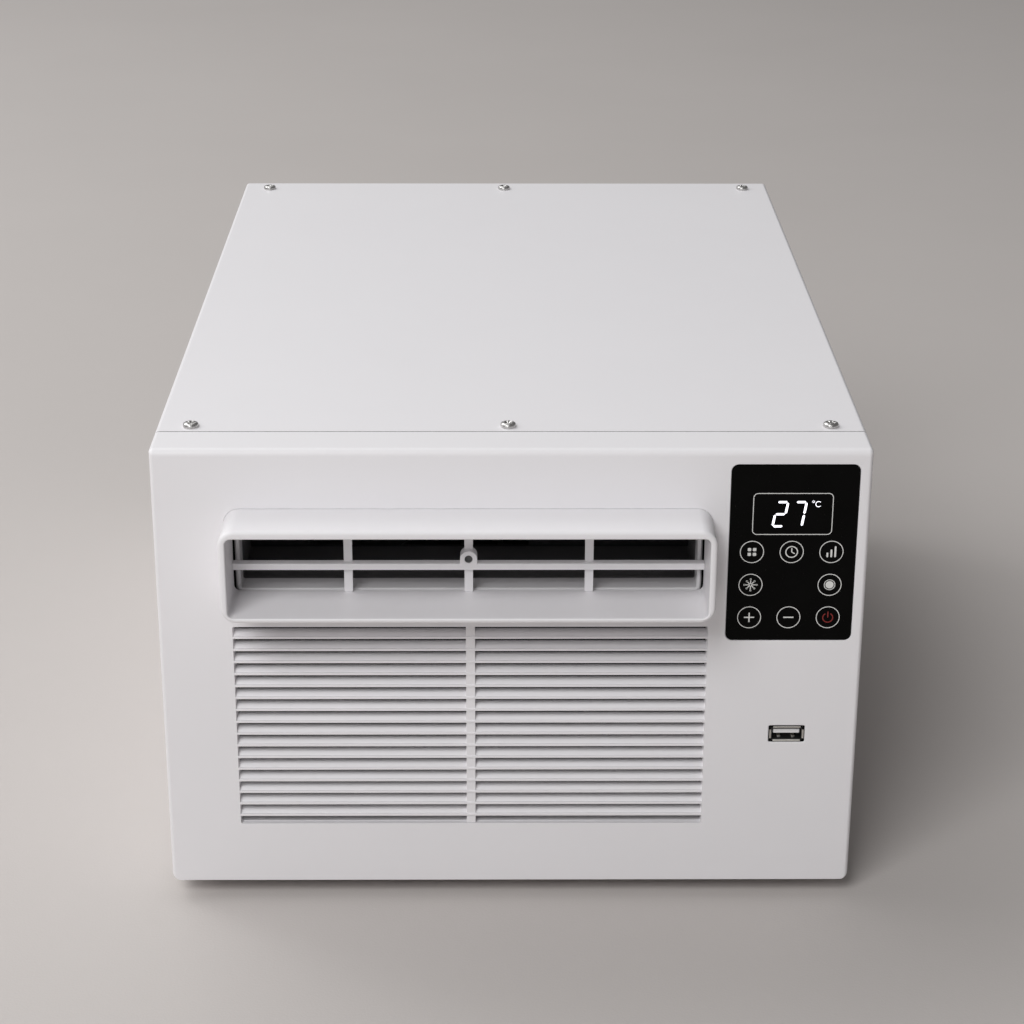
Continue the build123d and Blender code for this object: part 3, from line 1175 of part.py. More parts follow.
with BuildPart() as compressor_grommets:
    pegs(level_plane(FLOOR_TOP), stud_places, GROMMET_RADIUS, GROMMET_LOW, BOLT_SIDES)
    pegs(level_plane(PLATE_LOW), stud_places, GROMMET_NECK, COMPRESSOR_PLATE, BOLT_SIDES)
    pegs(level_plane(SHELL_LOW), stud_places, GROMMET_RADIUS, GROMMET_HIGH, BOLT_SIDES)
    grommet_height = GROMMET_LOW + COMPRESSOR_PLATE + GROMMET_HIGH
    stud_hole = STUD_RADIUS + SCREW_PLAY
    pegs(level_plane(FLOOR_TOP), stud_places, stud_hole, grommet_height, BOLT_SIDES, Mode.SUBTRACT)

with BuildPart() as compressor_studs:
    nut_low = FLOOR_TOP + grommet_height
    stud_length = nut_low + NUT_HEIGHT + STUD_TIP - FOOT_HEIGHT
    pegs(level_plane(FOOT_HEIGHT), stud_places, STUD_RADIUS, stud_length, BOLT_SIDES)
    pegs(level_plane(nut_low), stud_places, NUT_WIDTH / 2, NUT_HEIGHT, BOLT_SIDES)

# Accumulator: a small upright bottle between the bulkhead and the compressor
with BuildPart() as accumulator:
    bottle_middle = [(ACCUMULATOR_X, FRONT_Y + ACCUMULATOR_DEPTH)]
    bottle_low = level_plane(ACCUMULATOR_LOW)
    bottle_height = ACCUMULATOR_TOP - ACCUMULATOR_LOW
    pegs(bottle_low, bottle_middle, ACCUMULATOR_RADIUS, bottle_height, 2 * TUBE_SIDES)

# Refrigerant pipes
discharge_high = SHELL_TOP + PORT_LENGTH + DISCHARGE_RISE
discharge_pipe = bent_tube(
    [
        place(COMPRESSOR_X, COMPRESSOR_DEPTH, SHELL_TOP + PORT_LENGTH),
        place(COMPRESSOR_X, COMPRESSOR_DEPTH, discharge_high),
        place(DISCHARGE_X, COMPRESSOR_DEPTH, discharge_high),
        place(DISCHARGE_X, CONDENSER_MIDDLE, discharge_high),
        place(DISCHARGE_X, CONDENSER_MIDDLE, CONDENSER_TOP),
        place(CONDENSER_PORT, CONDENSER_MIDDLE, CONDENSER_TOP),
    ],
    PIPE_RADIUS,
    PIPE_BEND,
)
suction_pipe = bent_tube(
    [
        place(EVAPORATOR_PORT, EVAPORATOR_MIDDLE, EVAPORATOR_TOP),
        place(ACCUMULATOR_X, EVAPORATOR_MIDDLE, EVAPORATOR_TOP),
        place(ACCUMULATOR_X, ACCUMULATOR_DEPTH, EVAPORATOR_TOP),
        place(ACCUMULATOR_X, ACCUMULATOR_DEPTH, ACCUMULATOR_TOP),
    ],
    PIPE_RADIUS,
    PIPE_BEND,
)
suction_elbow = bent_tube(
    [
        place(ACCUMULATOR_X, ACCUMULATOR_DEPTH, ACCUMULATOR_LOW),
        place(ACCUMULATOR_X, ACCUMULATOR_DEPTH, SUCTION_LOW),
        place(ACCUMULATOR_X, COMPRESSOR_DEPTH - COMPRESSOR_RADIUS - PORT_LENGTH, SUCTION_LOW),
    ],
    PIPE_RADIUS,
    PIPE_BEND,
)
drier_back = CONDENSER_MIDDLE - DRIER_AHEAD
drier_front = drier_back - DRIER_LENGTH
liquid_pipe = bent_tube(
    [
        place(CONDENSER_PORT, CONDENSER_MIDDLE, CONDENSER_LOW),
        place(DRIER_X, CONDENSER_MIDDLE, CONDENSER_LOW),
        place(DRIER_X, CONDENSER_MIDDLE, DRIER_Z),
        place(DRIER_X, drier_back, DRIER_Z),
    ],
    PIPE_RADIUS,
    2 * PIPE_RADIUS,
)

# Filter drier: a small bottle on the liquid line
with BuildPart() as filter_drier:
    pegs(depth_plane(drier_front), [(DRIER_X, DRIER_Z)], DRIER_RADIUS, -DRIER_LENGTH, 2 * TUBE_SIDES)

capillary_tube = bent_tube(
    [
        place(DRIER_X, drier_front, DRIER_Z),
        place(DRIER_X, drier_front - CAPILLARY_JOG, DRIER_Z),
        place(CAPILLARY_X, drier_front - 2 * CAPILLARY_JOG, CAPILLARY_Z),
        place(CAPILLARY_X, EVAPORATOR_MIDDLE + CAPILLARY_TURN, CAPILLARY_Z),
        place(CAPILLARY_X - CAPILLARY_JOG, EVAPORATOR_MIDDLE, EVAPORATOR_LOW),
        place(EVAPORATOR_PORT, EVAPORATOR_MIDDLE, EVAPORATOR_LOW),
    ],
    CAPILLARY_RADIUS,
)

# Control box: an open-fronted case on the bulkhead, with the main board and its parts
box_middle = (BOX_LEFT + BOX_WIDTH / 2, BOX_LOW + BOX_HEIGHT / 2)
main_board_front = BULKHEAD_FRONT - BOX_WALL - MAIN_BOARD_STAND - BOARD_SHEET
main_board_size = (
    BOX_WIDTH - 2 * (BOX_WALL + MAIN_BOARD_MARGIN),
    BOX_HEIGHT - 2 * (BOX_WALL + MAIN_BOARD_MARGIN),
)
standoff_spots = [
    (
        box_middle[0] + i * (main_board_size[0] / 2 - STANDOFF_WIDTH / 2),
        box_middle[1] + j * (main_board_size[1] / 2 - STANDOFF_WIDTH / 2),
    )
    for i in (-1, 1)
    for j in (-1, 1)
]
with BuildPart() as control_box:
    block(depth_plane(BULKHEAD_FRONT), box_middle, (BOX_WIDTH, BOX_HEIGHT), BOX_DEPTH)
    block(
        depth_plane(BULKHEAD_FRONT - BOX_WALL),
        box_middle,
        (BOX_WIDTH - 2 * BOX_WALL, BOX_HEIGHT - 2 * BOX_WALL),
        BOX_DEPTH,
        Mode.SUBTRACT,
    )
    with BuildSketch(depth_plane(BULKHEAD_FRONT - BOX_WALL)):
        with Locations(*standoff_spots):
            Rectangle(STANDOFF_WIDTH, STANDOFF_WIDTH)
    extrude(amount=MAIN_BOARD_STAND)

with BuildPart() as main_board:
    block(depth_plane(main_board_front), box_middle, main_board_size, -BOARD_SHEET)

board_low = box_middle[1] - main_board_size[1] / 2 + PART_MARGIN
board_high = box_middle[1] + main_board_size[1] / 2 - PART_MARGIN
board_left = box_middle[0] - main_board_size[0] / 2 + PART_MARGIN
with BuildPart() as relays:
    relay_spots = [
        (board_left + RELAY_SIZE[0] / 2 + i * RELAY_PITCH, board_low + RELAY_SIZE[1] / 2) for i in range(3)
    ]
    with BuildSketch(depth_plane(main_board_front)):
        with Locations(*relay_spots):
            Rectangle(RELAY_SIZE[0], RELAY_SIZE[1])
    extrude(amount=RELAY_SIZE[2])

with BuildPart() as transformer:
    transformer_spot = (board_left + TRANSFORMER_SIZE[0] / 2, board_high - TRANSFORMER_SIZE[1] / 2)
    block(
        depth_plane(main_board_front),
        transformer_spot,
        (TRANSFORMER_SIZE[0], TRANSFORMER_SIZE[1]),
        TRANSFORMER_SIZE[2],
    )

with BuildPart() as run_capacitor:
    capacitor_spot = (
        box_middle[0] + main_board_size[0] / 2 - CAPACITOR_RADIUS,
        board_low + RELAY_SIZE[1] + 2 * PART_MARGIN + CAPACITOR_RADIUS,
    )
    board_face = depth_plane(main_board_front)
    pegs(board_face, [capacitor_spot], CAPACITOR_RADIUS, CAPACITOR_LENGTH, 2 * TUBE_SIDES)

os.makedirs("parts", exist_ok=True)
pieces = {
    "front_panel": front_panel,
    "outlet_hood": outlet_hood,
    "outlet_grid": outlet_grid,
    "outlet_duct": outlet_duct,
    "intake_grille": intake_grille,
    "filter_frame": filter_frame,
    "filter_mesh": filter_mesh,
    "casing_wrap": casing_wrap,
    "rear_panel": rear_panel,
    "base_pan": base_pan,
    "rubber_feet": rubber_feet,
    "casing_screws": casing_screws,
    "drain_spout": drain_spout,
    "cord_gland": cord_gland,
    "touch_panel": touch_panel,
    "display_board": display_board,
    "display_module": display_module,
    "touch_pads": touch_pads,
    "usb_shell": usb_shell,
    "usb_tongue": usb_tongue,
    "usb_board": usb_board,
    "evaporator_fins": evaporator_fins,
    "evaporator_tubes": evaporator_tubes,
    "evaporator_plates": evaporator_plates,
    "drain_tray": drain_tray,
    "orifice_plate": orifice_plate,
    "scroll_housing": scroll_housing,
    "bulkhead": bulkhead,
    "blower_wheel": blower_wheel,
    "drive_shaft": drive_shaft,
    "condenser_fan": condenser_fan,
    "motor_case": motor_case,
    "motor_bearings": motor_bearings,
    "motor_bracket": motor_bracket,
    "motor_bolts": motor_bolts,
    "fan_shroud": fan_shroud,
    "condenser_fins": condenser_fins,
    "condenser_tubes": condenser_tubes,
    "condenser_plates": condenser_plates,
    "compressor": compressor,
    "compressor_grommets": compressor_grommets,
    "compressor_studs": compressor_studs,
    "accumulator": accumulator,
    "discharge_pipe": discharge_pipe,
    "suction_pipe": suction_pipe,
    "suction_elbow": suction_elbow,
    "liquid_pipe": liquid_pipe,
    "filter_drier": filter_drier,
    "capillary_tube": capillary_tube,
    "control_box": control_box,
    "main_board": main_board,
    "relays": relays,
    "transformer": transformer,
    "run_capacitor": run_capacitor,
}
for name, piece in pieces.items():
    piece.part.label = name
    export_step(piece.part, f"parts/{name}.step")
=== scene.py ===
"""Looks of a small window air conditioner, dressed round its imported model.

Lengths are in metres, in the model's own frame: +Z up, the front faces -Y, the touch panel is on +X.
A "depth" is measured back from the face of the front panel.
"""

from math import cos, pi, radians, sin, tan

import bmesh
import bpy
from mathutils import Matrix, Vector
from mathutils.geometry import tessellate_polygon


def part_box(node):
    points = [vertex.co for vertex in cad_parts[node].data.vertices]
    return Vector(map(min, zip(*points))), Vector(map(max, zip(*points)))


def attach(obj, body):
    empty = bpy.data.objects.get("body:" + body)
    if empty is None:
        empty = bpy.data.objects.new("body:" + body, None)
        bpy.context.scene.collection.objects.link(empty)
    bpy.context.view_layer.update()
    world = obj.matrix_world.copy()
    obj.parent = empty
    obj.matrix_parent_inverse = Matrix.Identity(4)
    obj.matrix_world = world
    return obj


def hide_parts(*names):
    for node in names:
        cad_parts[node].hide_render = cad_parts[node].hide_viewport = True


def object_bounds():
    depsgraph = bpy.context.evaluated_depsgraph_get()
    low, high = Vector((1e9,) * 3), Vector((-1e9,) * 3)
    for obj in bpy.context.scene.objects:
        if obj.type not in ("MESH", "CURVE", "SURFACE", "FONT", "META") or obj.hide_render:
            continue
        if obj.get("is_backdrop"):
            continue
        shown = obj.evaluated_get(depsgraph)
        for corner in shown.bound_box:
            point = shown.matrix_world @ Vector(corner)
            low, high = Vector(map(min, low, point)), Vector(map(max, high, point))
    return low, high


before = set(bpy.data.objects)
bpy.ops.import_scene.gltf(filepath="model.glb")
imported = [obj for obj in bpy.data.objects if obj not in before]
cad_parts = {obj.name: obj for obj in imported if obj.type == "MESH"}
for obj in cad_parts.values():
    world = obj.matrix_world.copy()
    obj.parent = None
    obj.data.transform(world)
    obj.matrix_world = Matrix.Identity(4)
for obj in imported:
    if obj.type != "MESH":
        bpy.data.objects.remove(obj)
CAD_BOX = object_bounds()

bl_info = {
    "name": "Window air conditioner looks",
    "version": (1, 0, 0),
    "blender": (4, 5, 0),
    "location": "3D View > Sidebar > Air unit",
    "description": "Dresses the packed window air conditioner with finished pieces, materials and a stage",
    "category": "Object",
}

MM = 0.001
FACE_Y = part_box("front_panel")[0].y


def length(name, description, millimetres):
    """A length property whose default is given in millimetres."""
    return bpy.props.FloatProperty(
        name=name, description=description, default=millimetres * MM, unit="LENGTH", precision=5
    )


def degrees(name, description, value):
    """An angle property whose default is given in degrees."""
    return bpy.props.FloatProperty(
        name=name, description=description, default=radians(value), subtype="ANGLE"
    )


def watts(name, description, value):
    """A power property."""
    return bpy.props.FloatProperty(name=name, description=description, default=value, unit="POWER")


def colour(name, description, value):
    """A colour property with a linear default."""
    return bpy.props.FloatVectorProperty(
        name=name, description=description, default=value, size=3, min=0, max=1, subtype="COLOR"
    )


def number(name, description, value):
    """A whole-number property."""
    return bpy.props.IntProperty(name=name, description=description, default=value, min=1)


class CasingSizes(bpy.types.PropertyGroup):
    """Sizes of the front panel and the sheet casing."""

    width: length("Width", "Width of the casing", 290)
    low: length("Underside", "Height of the casing's underside above the ground", 6)
    high: length("Top", "Height of the casing's top above the ground", 205)
    back: length("Back", "Depth of the casing's back", 419)
    corner: length("Corner round", "Radius of the casing's long corners", 1.8)
    low_corner: length("Low corner round", "Radius of the front panel's lower corners", 3.2)
    edge: length("Edge round", "Radius of the front panel's upper edge", 2.8)
    lift: length("Panel lift", "How far the front panel's lower edge is above the wrap's", 1.2)
    panel_depth: length("Panel depth", "Depth of the front panel's skirt", 21)
    panel_wall: length("Panel wall", "Thickness of the front panel", 2.4)
    inner_corner: length("Panel inner corner", "Radius of the corners inside the front panel", 0.5)
    cut_edge: length("Cut-out edge", "Round of the front panel's cut-outs", 0.4)
    lap: length("Lap", "How far the panel's lip is inside the wrap", 1.3)
    lip_wall: length("Lip wall", "Thickness of the panel's lip", 2.2)
    lip_back: length("Lip back", "Depth of the lip's back edge", 38)
    lip_root: length("Lip root", "How far the lip reaches into the front panel", 4)
    lip_low: length("Lip low", "Height where the lip ends at the sides", 34)
    lip_corner: length("Lip corner", "Radius of the corners inside the lip", 0.2)
    seam: length("Seam", "Gap between the front panel and the wrap", 0.7)
    sheet: length("Sheet", "Thickness of the casing sheet", 1)
    sheet_edge: length("Sheet edge", "Chamfer of the sheet's cut edges", 0.08)
    slot_length: length("Side slot length", "Length of a side air slot", 70)
    slot_height: length("Side slot height", "Height of a side air slot", 4)
    slot_corner: length("Side slot corner", "Corner radius of a side air slot", 1.2)
    slot_depth: length("Side slot depth", "Depth of the middle of the side air slots", 290)
    slot_z: length("Side slot Z", "Height of the middle of the side air slots", 115)
    slot_pitch: length("Side slot pitch", "Spacing of the side air slots", 11)
    slot_rows: number("Side slots", "Number of air slots on each side", 8)


class OutletSizes(bpy.types.PropertyGroup):
    """Sizes of the outlet hood, its grid and the duct behind it."""

    x: length("Hood X", "Middle of the hood", -17.35)
    z: length("Hood Z", "Height of the hood's middle", 159.7)
    width: length("Hood width", "Outer width of the hood", 197.7)
    height: length("Hood height", "Outer height of the hood", 39.8)
    out: length("Hood reach", "How far the hood stands out", 24)
    wall: length("Hood wall", "Thickness of the hood's wall", 2.8)
    inner_drop: length("Inner drop", "How far the hood's inside is below its outside", 0.6)
    corner: length("Hood corner", "Outer corner radius of the hood", 6.5)
    inner_corner: length("Hood inner corner", "Inner corner radius of the hood", 2.4)
    rim: length("Rim round", "Outer round of the hood's rim", 1.5)
    lip: length("Inner rim round", "Inner round of the hood's rim", 0.7)
    flange: length("Flange", "Width of the flange behind the panel", 4)
    flange_wall: length("Flange wall", "Thickness of that flange", 2)
    play: length("Play", "Gap between the hood and the panel's cut-out", 0.1)
    bar_pitch: length("Bar pitch", "Spacing of the upright bars", 49.1)
    bar_width: length("Bar width", "Width of an upright bar", 3.5)
    bar_depth: length("Bar depth", "Depth of an upright bar", 2)
    bar_round: length("Bar round", "Round of the grid's edges", 0.45)
    rail_drop: length("Rail drop", "How far the rail is below the hood's middle", 5.3)
    rail_height: length("Rail height", "Height of the rail", 2.9)
    rail_depth: length("Rail depth", "Depth of the rail", 4.1)
    stand: length("Grid stand", "How far the grid stands before the panel's face", 0.5)
    boss: length("Boss radius", "Radius of the grid's screw boss", 3.5)
    boss_stand: length("Boss stand", "How far the boss stands before the rail", 0.1)
    boss_hole: length("Boss hole", "Radius of the hole in the boss", 1.6)
    boss_rim: length("Boss rim", "Width and depth of the chamfer round that hole", 0.3)
    boss_rise: length("Boss rise", "Height of the boss's middle over the rail", 1.9)
    boss_depth: length("Boss depth", "Length of the boss", 5.4)
    boss_hole_depth: length("Boss hole depth", "Depth of the hole in the boss", 2.4)
    duct_wall: length("Duct wall", "Thickness of the duct", 1.9)
    duct_edge: length("Duct edge", "Chamfer of the duct's front edge", 0.6)
    duct_corner: length("Duct corner", "Outer corner radius of the duct", 2.7)


class GrilleSizes(bpy.types.PropertyGroup):
    """Sizes of the intake grille."""

    x: length("Grille X", "Middle of the grille", -16.75)
    z: length("Grille Z", "Height of the grille's middle", 81.32)
    width: length("Grille width", "Width of the opening", 195.5)
    height: length("Grille height", "Height of the opening", 92.04)
    lap: length("Lap", "How far the frame laps behind the panel", 5)
    frame_depth: length("Frame depth", "Depth of the grille's frame", 6)
    frame_step: length("Frame step", "How far the frame shows inside the opening", 0.2)
    blades: number("Blades", "Number of blades", 16)
    pitch: length("Blade pitch", "Spacing of the blades", 5.53)
    drop: length("First blade", "Drop of the first blade's lower edge from the opening's top", 5.53)
    edge: length("Blade edge", "Height of a blade's front edge", 1.1)
    depth: length("Blade depth", "Depth of a blade", 4.7)
    ledge: length("Blade ledge", "Depth of the level ledge behind a blade's front edge", 0.8)
    corner: length("Opening corner", "Corner radius of the opening", 0.6)
    slope: degrees("Front slope", "Rise of a blade's top at its front edge", 50)
    back_slope: degrees("Back slope", "Rise of a blade's top at its back edge", 8)
    round: length("Blade round", "Round of a blade's front edges", 0.22)
    mullion: length("Mullion", "Width of the upright bar in the middle", 3.7)
    setback: length("Mullion setback", "How far the upright bar is behind the panel's face", 0.4)


class TouchSizes(bpy.types.PropertyGroup):
    """Sizes of the touch panel and its marks."""

    x: length("Panel X", "Middle of the touch panel", 114.1)
    z: length("Panel Z", "Height of the touch panel's middle", 159.9)
    width: length("Panel width", "Width of the touch panel", 51.6)
    height: length("Panel height", "Height of the touch panel", 77.4)
    corner: length("Panel corner", "Corner radius of the touch panel", 2.8)
    edge: length("Panel edge", "Round of the touch panel's front edge", 0.25)
    sheet: length("Panel sheet", "Thickness of the touch panel", 1.2)
    ledge: length("Ledge", "Width of the ledge that the panel lies on", 4)
    ink: length("Ink", "Height of the printed marks", 0.03)
    line: length("Line", "Width of the printed lines", 0.33)
    ring: length("Ring", "Outer radius of a key's ring", 4.9)
    key_x: length("Key X", "Middle column of the keys", 113.8)
    key_z: length("Key Z", "Middle row of the keys", 146.15)
    key_pitch_x: length("Key pitch X", "Spacing of the key columns", 16.15)
    key_pitch_z: length("Key pitch Z", "Spacing of the key rows", 14.6)
    display_x: length("Display X", "Middle of the display's frame", 113.5)
    display_z: length("Display Z", "Height of the display's middle", 177.4)
    display_width: length("Display width", "Width of the display's frame", 32.4)
    display_height: length("Display height", "Height of the display's frame", 18.2)
    display_corner: length("Display corner", "Corner radius of the display's frame", 2)


class SocketSizes(bpy.types.PropertyGroup):
    """Sizes of the USB socket."""

    x: length("Socket X", "Middle of the socket", 115.5)
    z: length("Socket Z", "Height of the socket's middle", 77.75)
    width: length("Shell width", "Outer width of the shell", 13.1)
    height: length("Shell height", "Outer height of the shell", 5.7)
    back: length("Shell back", "Depth of the shell's back", 14)
    sheet: length("Sheet", "Thickness of the shell's sheet", 0.35)
    corner: length("Shell corner", "Outer corner radius of the shell", 0.5)
    inner_corner: length("Shell inner corner", "Inner corner radius of the shell", 0.2)
    setback: length("Setback", "Depth of the shell's front edge and the collar", 0.5)
    collar: length("Collar", "Depth of the black collar and of the lips", 1.2)
    lip: length("Lip", "How far the curled lips reach out", 0.62)
    lip_inset: length("Lip inset", "How much shorter a lip is than its side", 1.7)
    gap: length("Gap", "Gap between the lips and the panel's cut-out", 0.36)
    tongue: length("Tongue", "Half the width of the tongue", 5.55)
    tongue_front: length("Tongue front", "Depth of the tongue's front edge", 1.6)
    tongue_back: length("Tongue back", "Depth where the tongue meets its block", 9)
    tongue_top: length("Tongue top", "Drop of the tongue's top from the shell's inside", 0.9)
    tongue_low: length("Tongue low", "Drop of the tongue's underside from the shell's inside", 2.74)


class FittingSizes(bpy.types.PropertyGroup):
    """Sizes of the screws and feet."""

    head: length("Screw head", "Radius of a screw's head", 3.2)
    head_height: length("Screw head height", "Height of a screw's head", 2)
    shank: length("Screw shank", "Radius of a screw's shank", 1.4)
    shank_length: length("Screw length", "Length of a screw's shank", 7)
    top_inset: length("Top screw inset", "Distance of the outer top screws from the sides", 14.1)
    middle_x: length("Middle screw X", "Place of the middle top screws", -1.2)
    front_depth: length("Front screw depth", "Depth of the front row of top screws", 27.2)
    rear_inset: length("Rear screw inset", "Distance of the rear row from the back", 12)
    low_rise: length("Low screw height", "Height of the low screws above the ground", 19)
    low_inset: length("Low screw inset", "Distance of the low screws from their edges", 40)
    foot: length("Foot", "Upper radius of a foot", 12)
    foot_taper: length("Foot taper", "How much narrower a foot is at its sole", 1.3)
    foot_x: length("Foot X", "Distance of the feet from the middle", 115)
    foot_inset: length("Foot inset", "Distance of the feet from the front and the back", 45)


class FinishColours(bpy.types.PropertyGroup):
    """Colours of the finishes."""

    moulding: colour("White moulding", "Front panel, hood and grille", (0.88, 0.865, 0.885))
    sheet: colour("White sheet", "Powder-coated casing sheet", (0.88, 0.864, 0.886))
    glass: colour("Black glass", "Touch panel", (0.0016, 0.0016, 0.0015))
    print: colour("Printed marks", "Rings and signs on the touch panel", (0.82, 0.82, 0.80))
    power: colour("Power sign", "Sign on the power key", (0.24, 0.016, 0.013))
    lamp: colour("Display light", "Lit digits", (0.93, 0.93, 1.0))
    zinc: colour("Zinc", "Screws", (0.62, 0.61, 0.60))
    nickel: colour("Nickel", "Socket shell", (0.66, 0.64, 0.60))
    inner: colour("Inner moulding", "Duct behind the grid", (0.78, 0.767, 0.78))
    rubber: colour("Rubber", "Feet and gland", (0.022, 0.022, 0.023))
    copper: colour("Copper", "Refrigerant tubes", (0.74, 0.36, 0.21))
    fins: colour("Aluminium", "Heat exchanger fins", (0.78, 0.79, 0.80))
    floor: colour("Floor", "Studio floor", (0.58, 0.546, 0.527))


class StageSettings(bpy.types.PropertyGroup):
    """Camera and lights."""

    focal: bpy.props.FloatProperty(
        name="Focal length", description="Focal length on a 36 mm sensor", default=84.85, unit="CAMERA"
    )
    yaw: degrees("Yaw", "Turn of the camera towards +X", 0.5002)
    pitch: degrees("Pitch", "How far the camera looks down", 22.308)
    roll: degrees("Roll", "Turn of the camera about its view", 0.1637)
    place: bpy.props.FloatVectorProperty(
        name="Place",
        description="Place of the camera",
        default=(-0.00764, -1.10336, 0.547345),
        unit="LENGTH",
    )
    key: watts("Key light", "Power of the left light", 16)
    front: watts("Front light", "Power of the front light", 26)
    low: watts("Low light", "Power of the low front light", 2)
    back: watts("Back light", "Power of the high back light", 40)
    fill: bpy.props.FloatProperty(name="Fill", description="Strength of the even light", default=0.15)


# Shapes


def spot(x, depth, z):
    """A point of the frame from an X, a depth and a height."""
    return Vector((x, FACE_Y + depth, z))


def level(points, depth):
    """Points of an upright outline, at a depth."""
    return [spot(x, depth, z) for x, z in points]


def shift(points, place):
    """Points of an outline, moved to a place."""
    return [(place[0] + x, place[1] + z) for x, z in points]


def bends(step):
    """Angles of a quarter turn, a step of degrees apart."""
    return [radians(angle) for angle in range(0, 91, step)]


def arc(radius, start, end, steps, centre=(0, 0)):
    """Points on an arc, in degrees."""
    angles = [radians(start + (end - start) * step / steps) for step in range(steps + 1)]
    return [(centre[0] + radius * cos(angle), centre[1] + radius * sin(angle)) for angle in angles]


def circle(radius, steps, centre=(0, 0)):
    """Points on a full circle."""
    return arc(radius, 0, 360, steps, centre)[:-1]


def box_loop(half, low, high, upper, lower, steps=6):
    """A rectangle between two heights, with its own radius for the upper and the lower corners."""
    return [
        *arc(upper, 0, 90, steps, (half - upper, high - upper)),
        *arc(upper, 90, 180, steps, (upper - half, high - upper)),
        *arc(lower, 180, 270, steps, (lower - half, low + lower)),
        *arc(lower, 270, 360, steps, (half - lower, low + lower)),
    ]


def rounded(width, height, radius, steps=6):
    """A rounded rectangle about the origin."""
    sharp = 0.01 * MM
    radius = max(radius, sharp)
    return box_loop(width / 2, -height / 2, height / 2, radius, radius, steps)


def frames(centre, size, radius, profile, steps=6):
    """Rounded rectangles through a profile of insets and depths."""
    loops = []
    for inset, depth in profile:
        outline = rounded(size[0] - 2 * inset, size[1] - 2 * inset, radius - inset, steps)
        loops.append(level(shift(outline, centre), depth))
    return loops


def arch(half, low, high, radius, steps=8):
    """Points up, over and down an arch with rounded shoulders."""
    left = arc(radius, 180, 90, steps, (radius - half, high - radius))
    right = arc(radius, 90, 0, steps, (half - radius, high - radius))
    return [(-half, low), *left, *right, (half, low)]


def stroke(points, width, ends=5):
    """The outline of a line of even width with round ends."""
    points = [Vector(point) for point in points]
    half = width / 2
    mitre_limit = 0.3
    ways = [(b - a).normalized() for a, b in zip(points, points[1:])]
    left = []
    right = []
    for place, point in enumerate(points):
        after = ways[min(place, len(ways) - 1)]
        way = (ways[max(place - 1, 0)] + after).normalized()
        reach = Vector((-way.y, way.x)) * (half / max(way.dot(after), mitre_limit))
        left.append(point + reach)
        right.append(point - reach)
    caps = []
    for middle, way in ((points[-1], ways[-1]), (points[0], -ways[0])):
        across = Vector((-way.y, way.x))
        turns = [pi * step / ends for step in range(1, ends)]
        caps.append([middle + (across * cos(turn) + way * sin(turn)) * half for turn in turns])
    return [(point.x, point.y) for point in left + caps[0] + right[::-1] + caps[1]]


def add(name, data):
    """A new object in the scene."""
    made = bpy.data.objects.new(name, data)
    bpy.context.scene.collection.objects.link(made)
    return made


class Shell:
    """Points and faces that grow ring by ring into a closed piece."""

    touching = 1e-7

    def __init__(self):
        self.mesh = bmesh.new()

    def ring(self, points):
        """New points, kept in order."""
        return [self.mesh.verts.new(point) for point in points]

    def bridge(self, first, second):
        """A strip of faces between two closed rings of as many points."""
        for step in range(len(first)):
            self.mesh.faces.new((first[step - 1], first[step], second[step], second[step - 1]))

    def cap(self, outer, holes=()):
        """A flat face inside a ring, with rings cut out of it."""
        loops = [outer, *holes]
        points = [point for loop in loops for point in loop]
        for corners in tessellate_polygon([[point.co for point in loop] for loop in loops]):
            self.mesh.faces.new([points[corner] for corner in corners])

    def loft(self, rings, close=False):
        """Strips through rings in turn, back to the first where asked."""
        made = [self.ring(points) for points in rings]
        for first, second in zip(made, made[1:]):
            self.bridge(first, second)
        if close:
            self.bridge(made[-1], made[0])
        return made

    def solid(self, rings):
        """A closed solid through rings in turn."""
        made = self.loft(rings)
        self.cap(made[0])
        self.cap(made[-1])

    def prism(self, outline, front, back, holes=()):
        """A slab of an upright outline between two depths."""
        loops = [outline, *holes]
        fronts = [self.ring(level(loop, front)) for loop in loops]
        backs = [self.ring(level(loop, back)) for loop in loops]
        for first, second in zip(fronts, backs):
            self.bridge(first, second)
        self.cap(fronts[0], fronts[1:])
        self.cap(backs[0], backs[1:])

    def block(self, low, high):
        """A square block between two corners given as X, depth and height."""
        outline = [(low[0], low[2]), (high[0], low[2]), (high[0], high[2]), (low[0], high[2])]
        self.prism(outline, low[1], high[1])

    def sleeve(self, centre, outer, inner, front, back):
        """A straight sleeve between two rounded rectangles, each given as a size and a radius."""
        outside = frames(centre, *outer, [(0, front), (0, back)])
        inside = frames(centre, *inner, [(0, back), (0, front)])
        self.loft(outside + inside, True)

    def turn(self, profile, steps):
        """A solid turned about the upright axis of the origin; the profile is radius and height."""
        self.solid([[Vector((x, y, z)) for x, y in circle(radius, steps)] for radius, z in profile])

    def data(self, name):
        """The mesh so far, with its faces pointing outwards."""
        bmesh.ops.remove_doubles(self.mesh, verts=self.mesh.verts, dist=self.touching)
        bmesh.ops.recalc_face_normals(self.mesh, faces=self.mesh.faces)
        mesh = bpy.data.meshes.new(name)
        self.mesh.to_mesh(mesh)
        self.mesh.free()
        return mesh

    def piece(self, name, *finishes, bevel=0, angle=30):
        """The shape as an object with soft shading, and soft edges where asked."""
        mesh = self.data(name)
        for finish in finishes:
            mesh.materials.append(FINISHES[finish])
        return soften(add(name, mesh), bevel, angle)


def settle(piece):
    """Makes a piece's modifiers part of its mesh."""
    layer = bpy.context.evaluated_depsgraph_get()
    mesh = bpy.data.meshes.new_from_object(piece.evaluated_get(layer))
    old = piece.data
    piece.modifiers.clear()
    piece.data = mesh
    mesh.name = piece.name
    bpy.data.meshes.remove(old)
    return piece


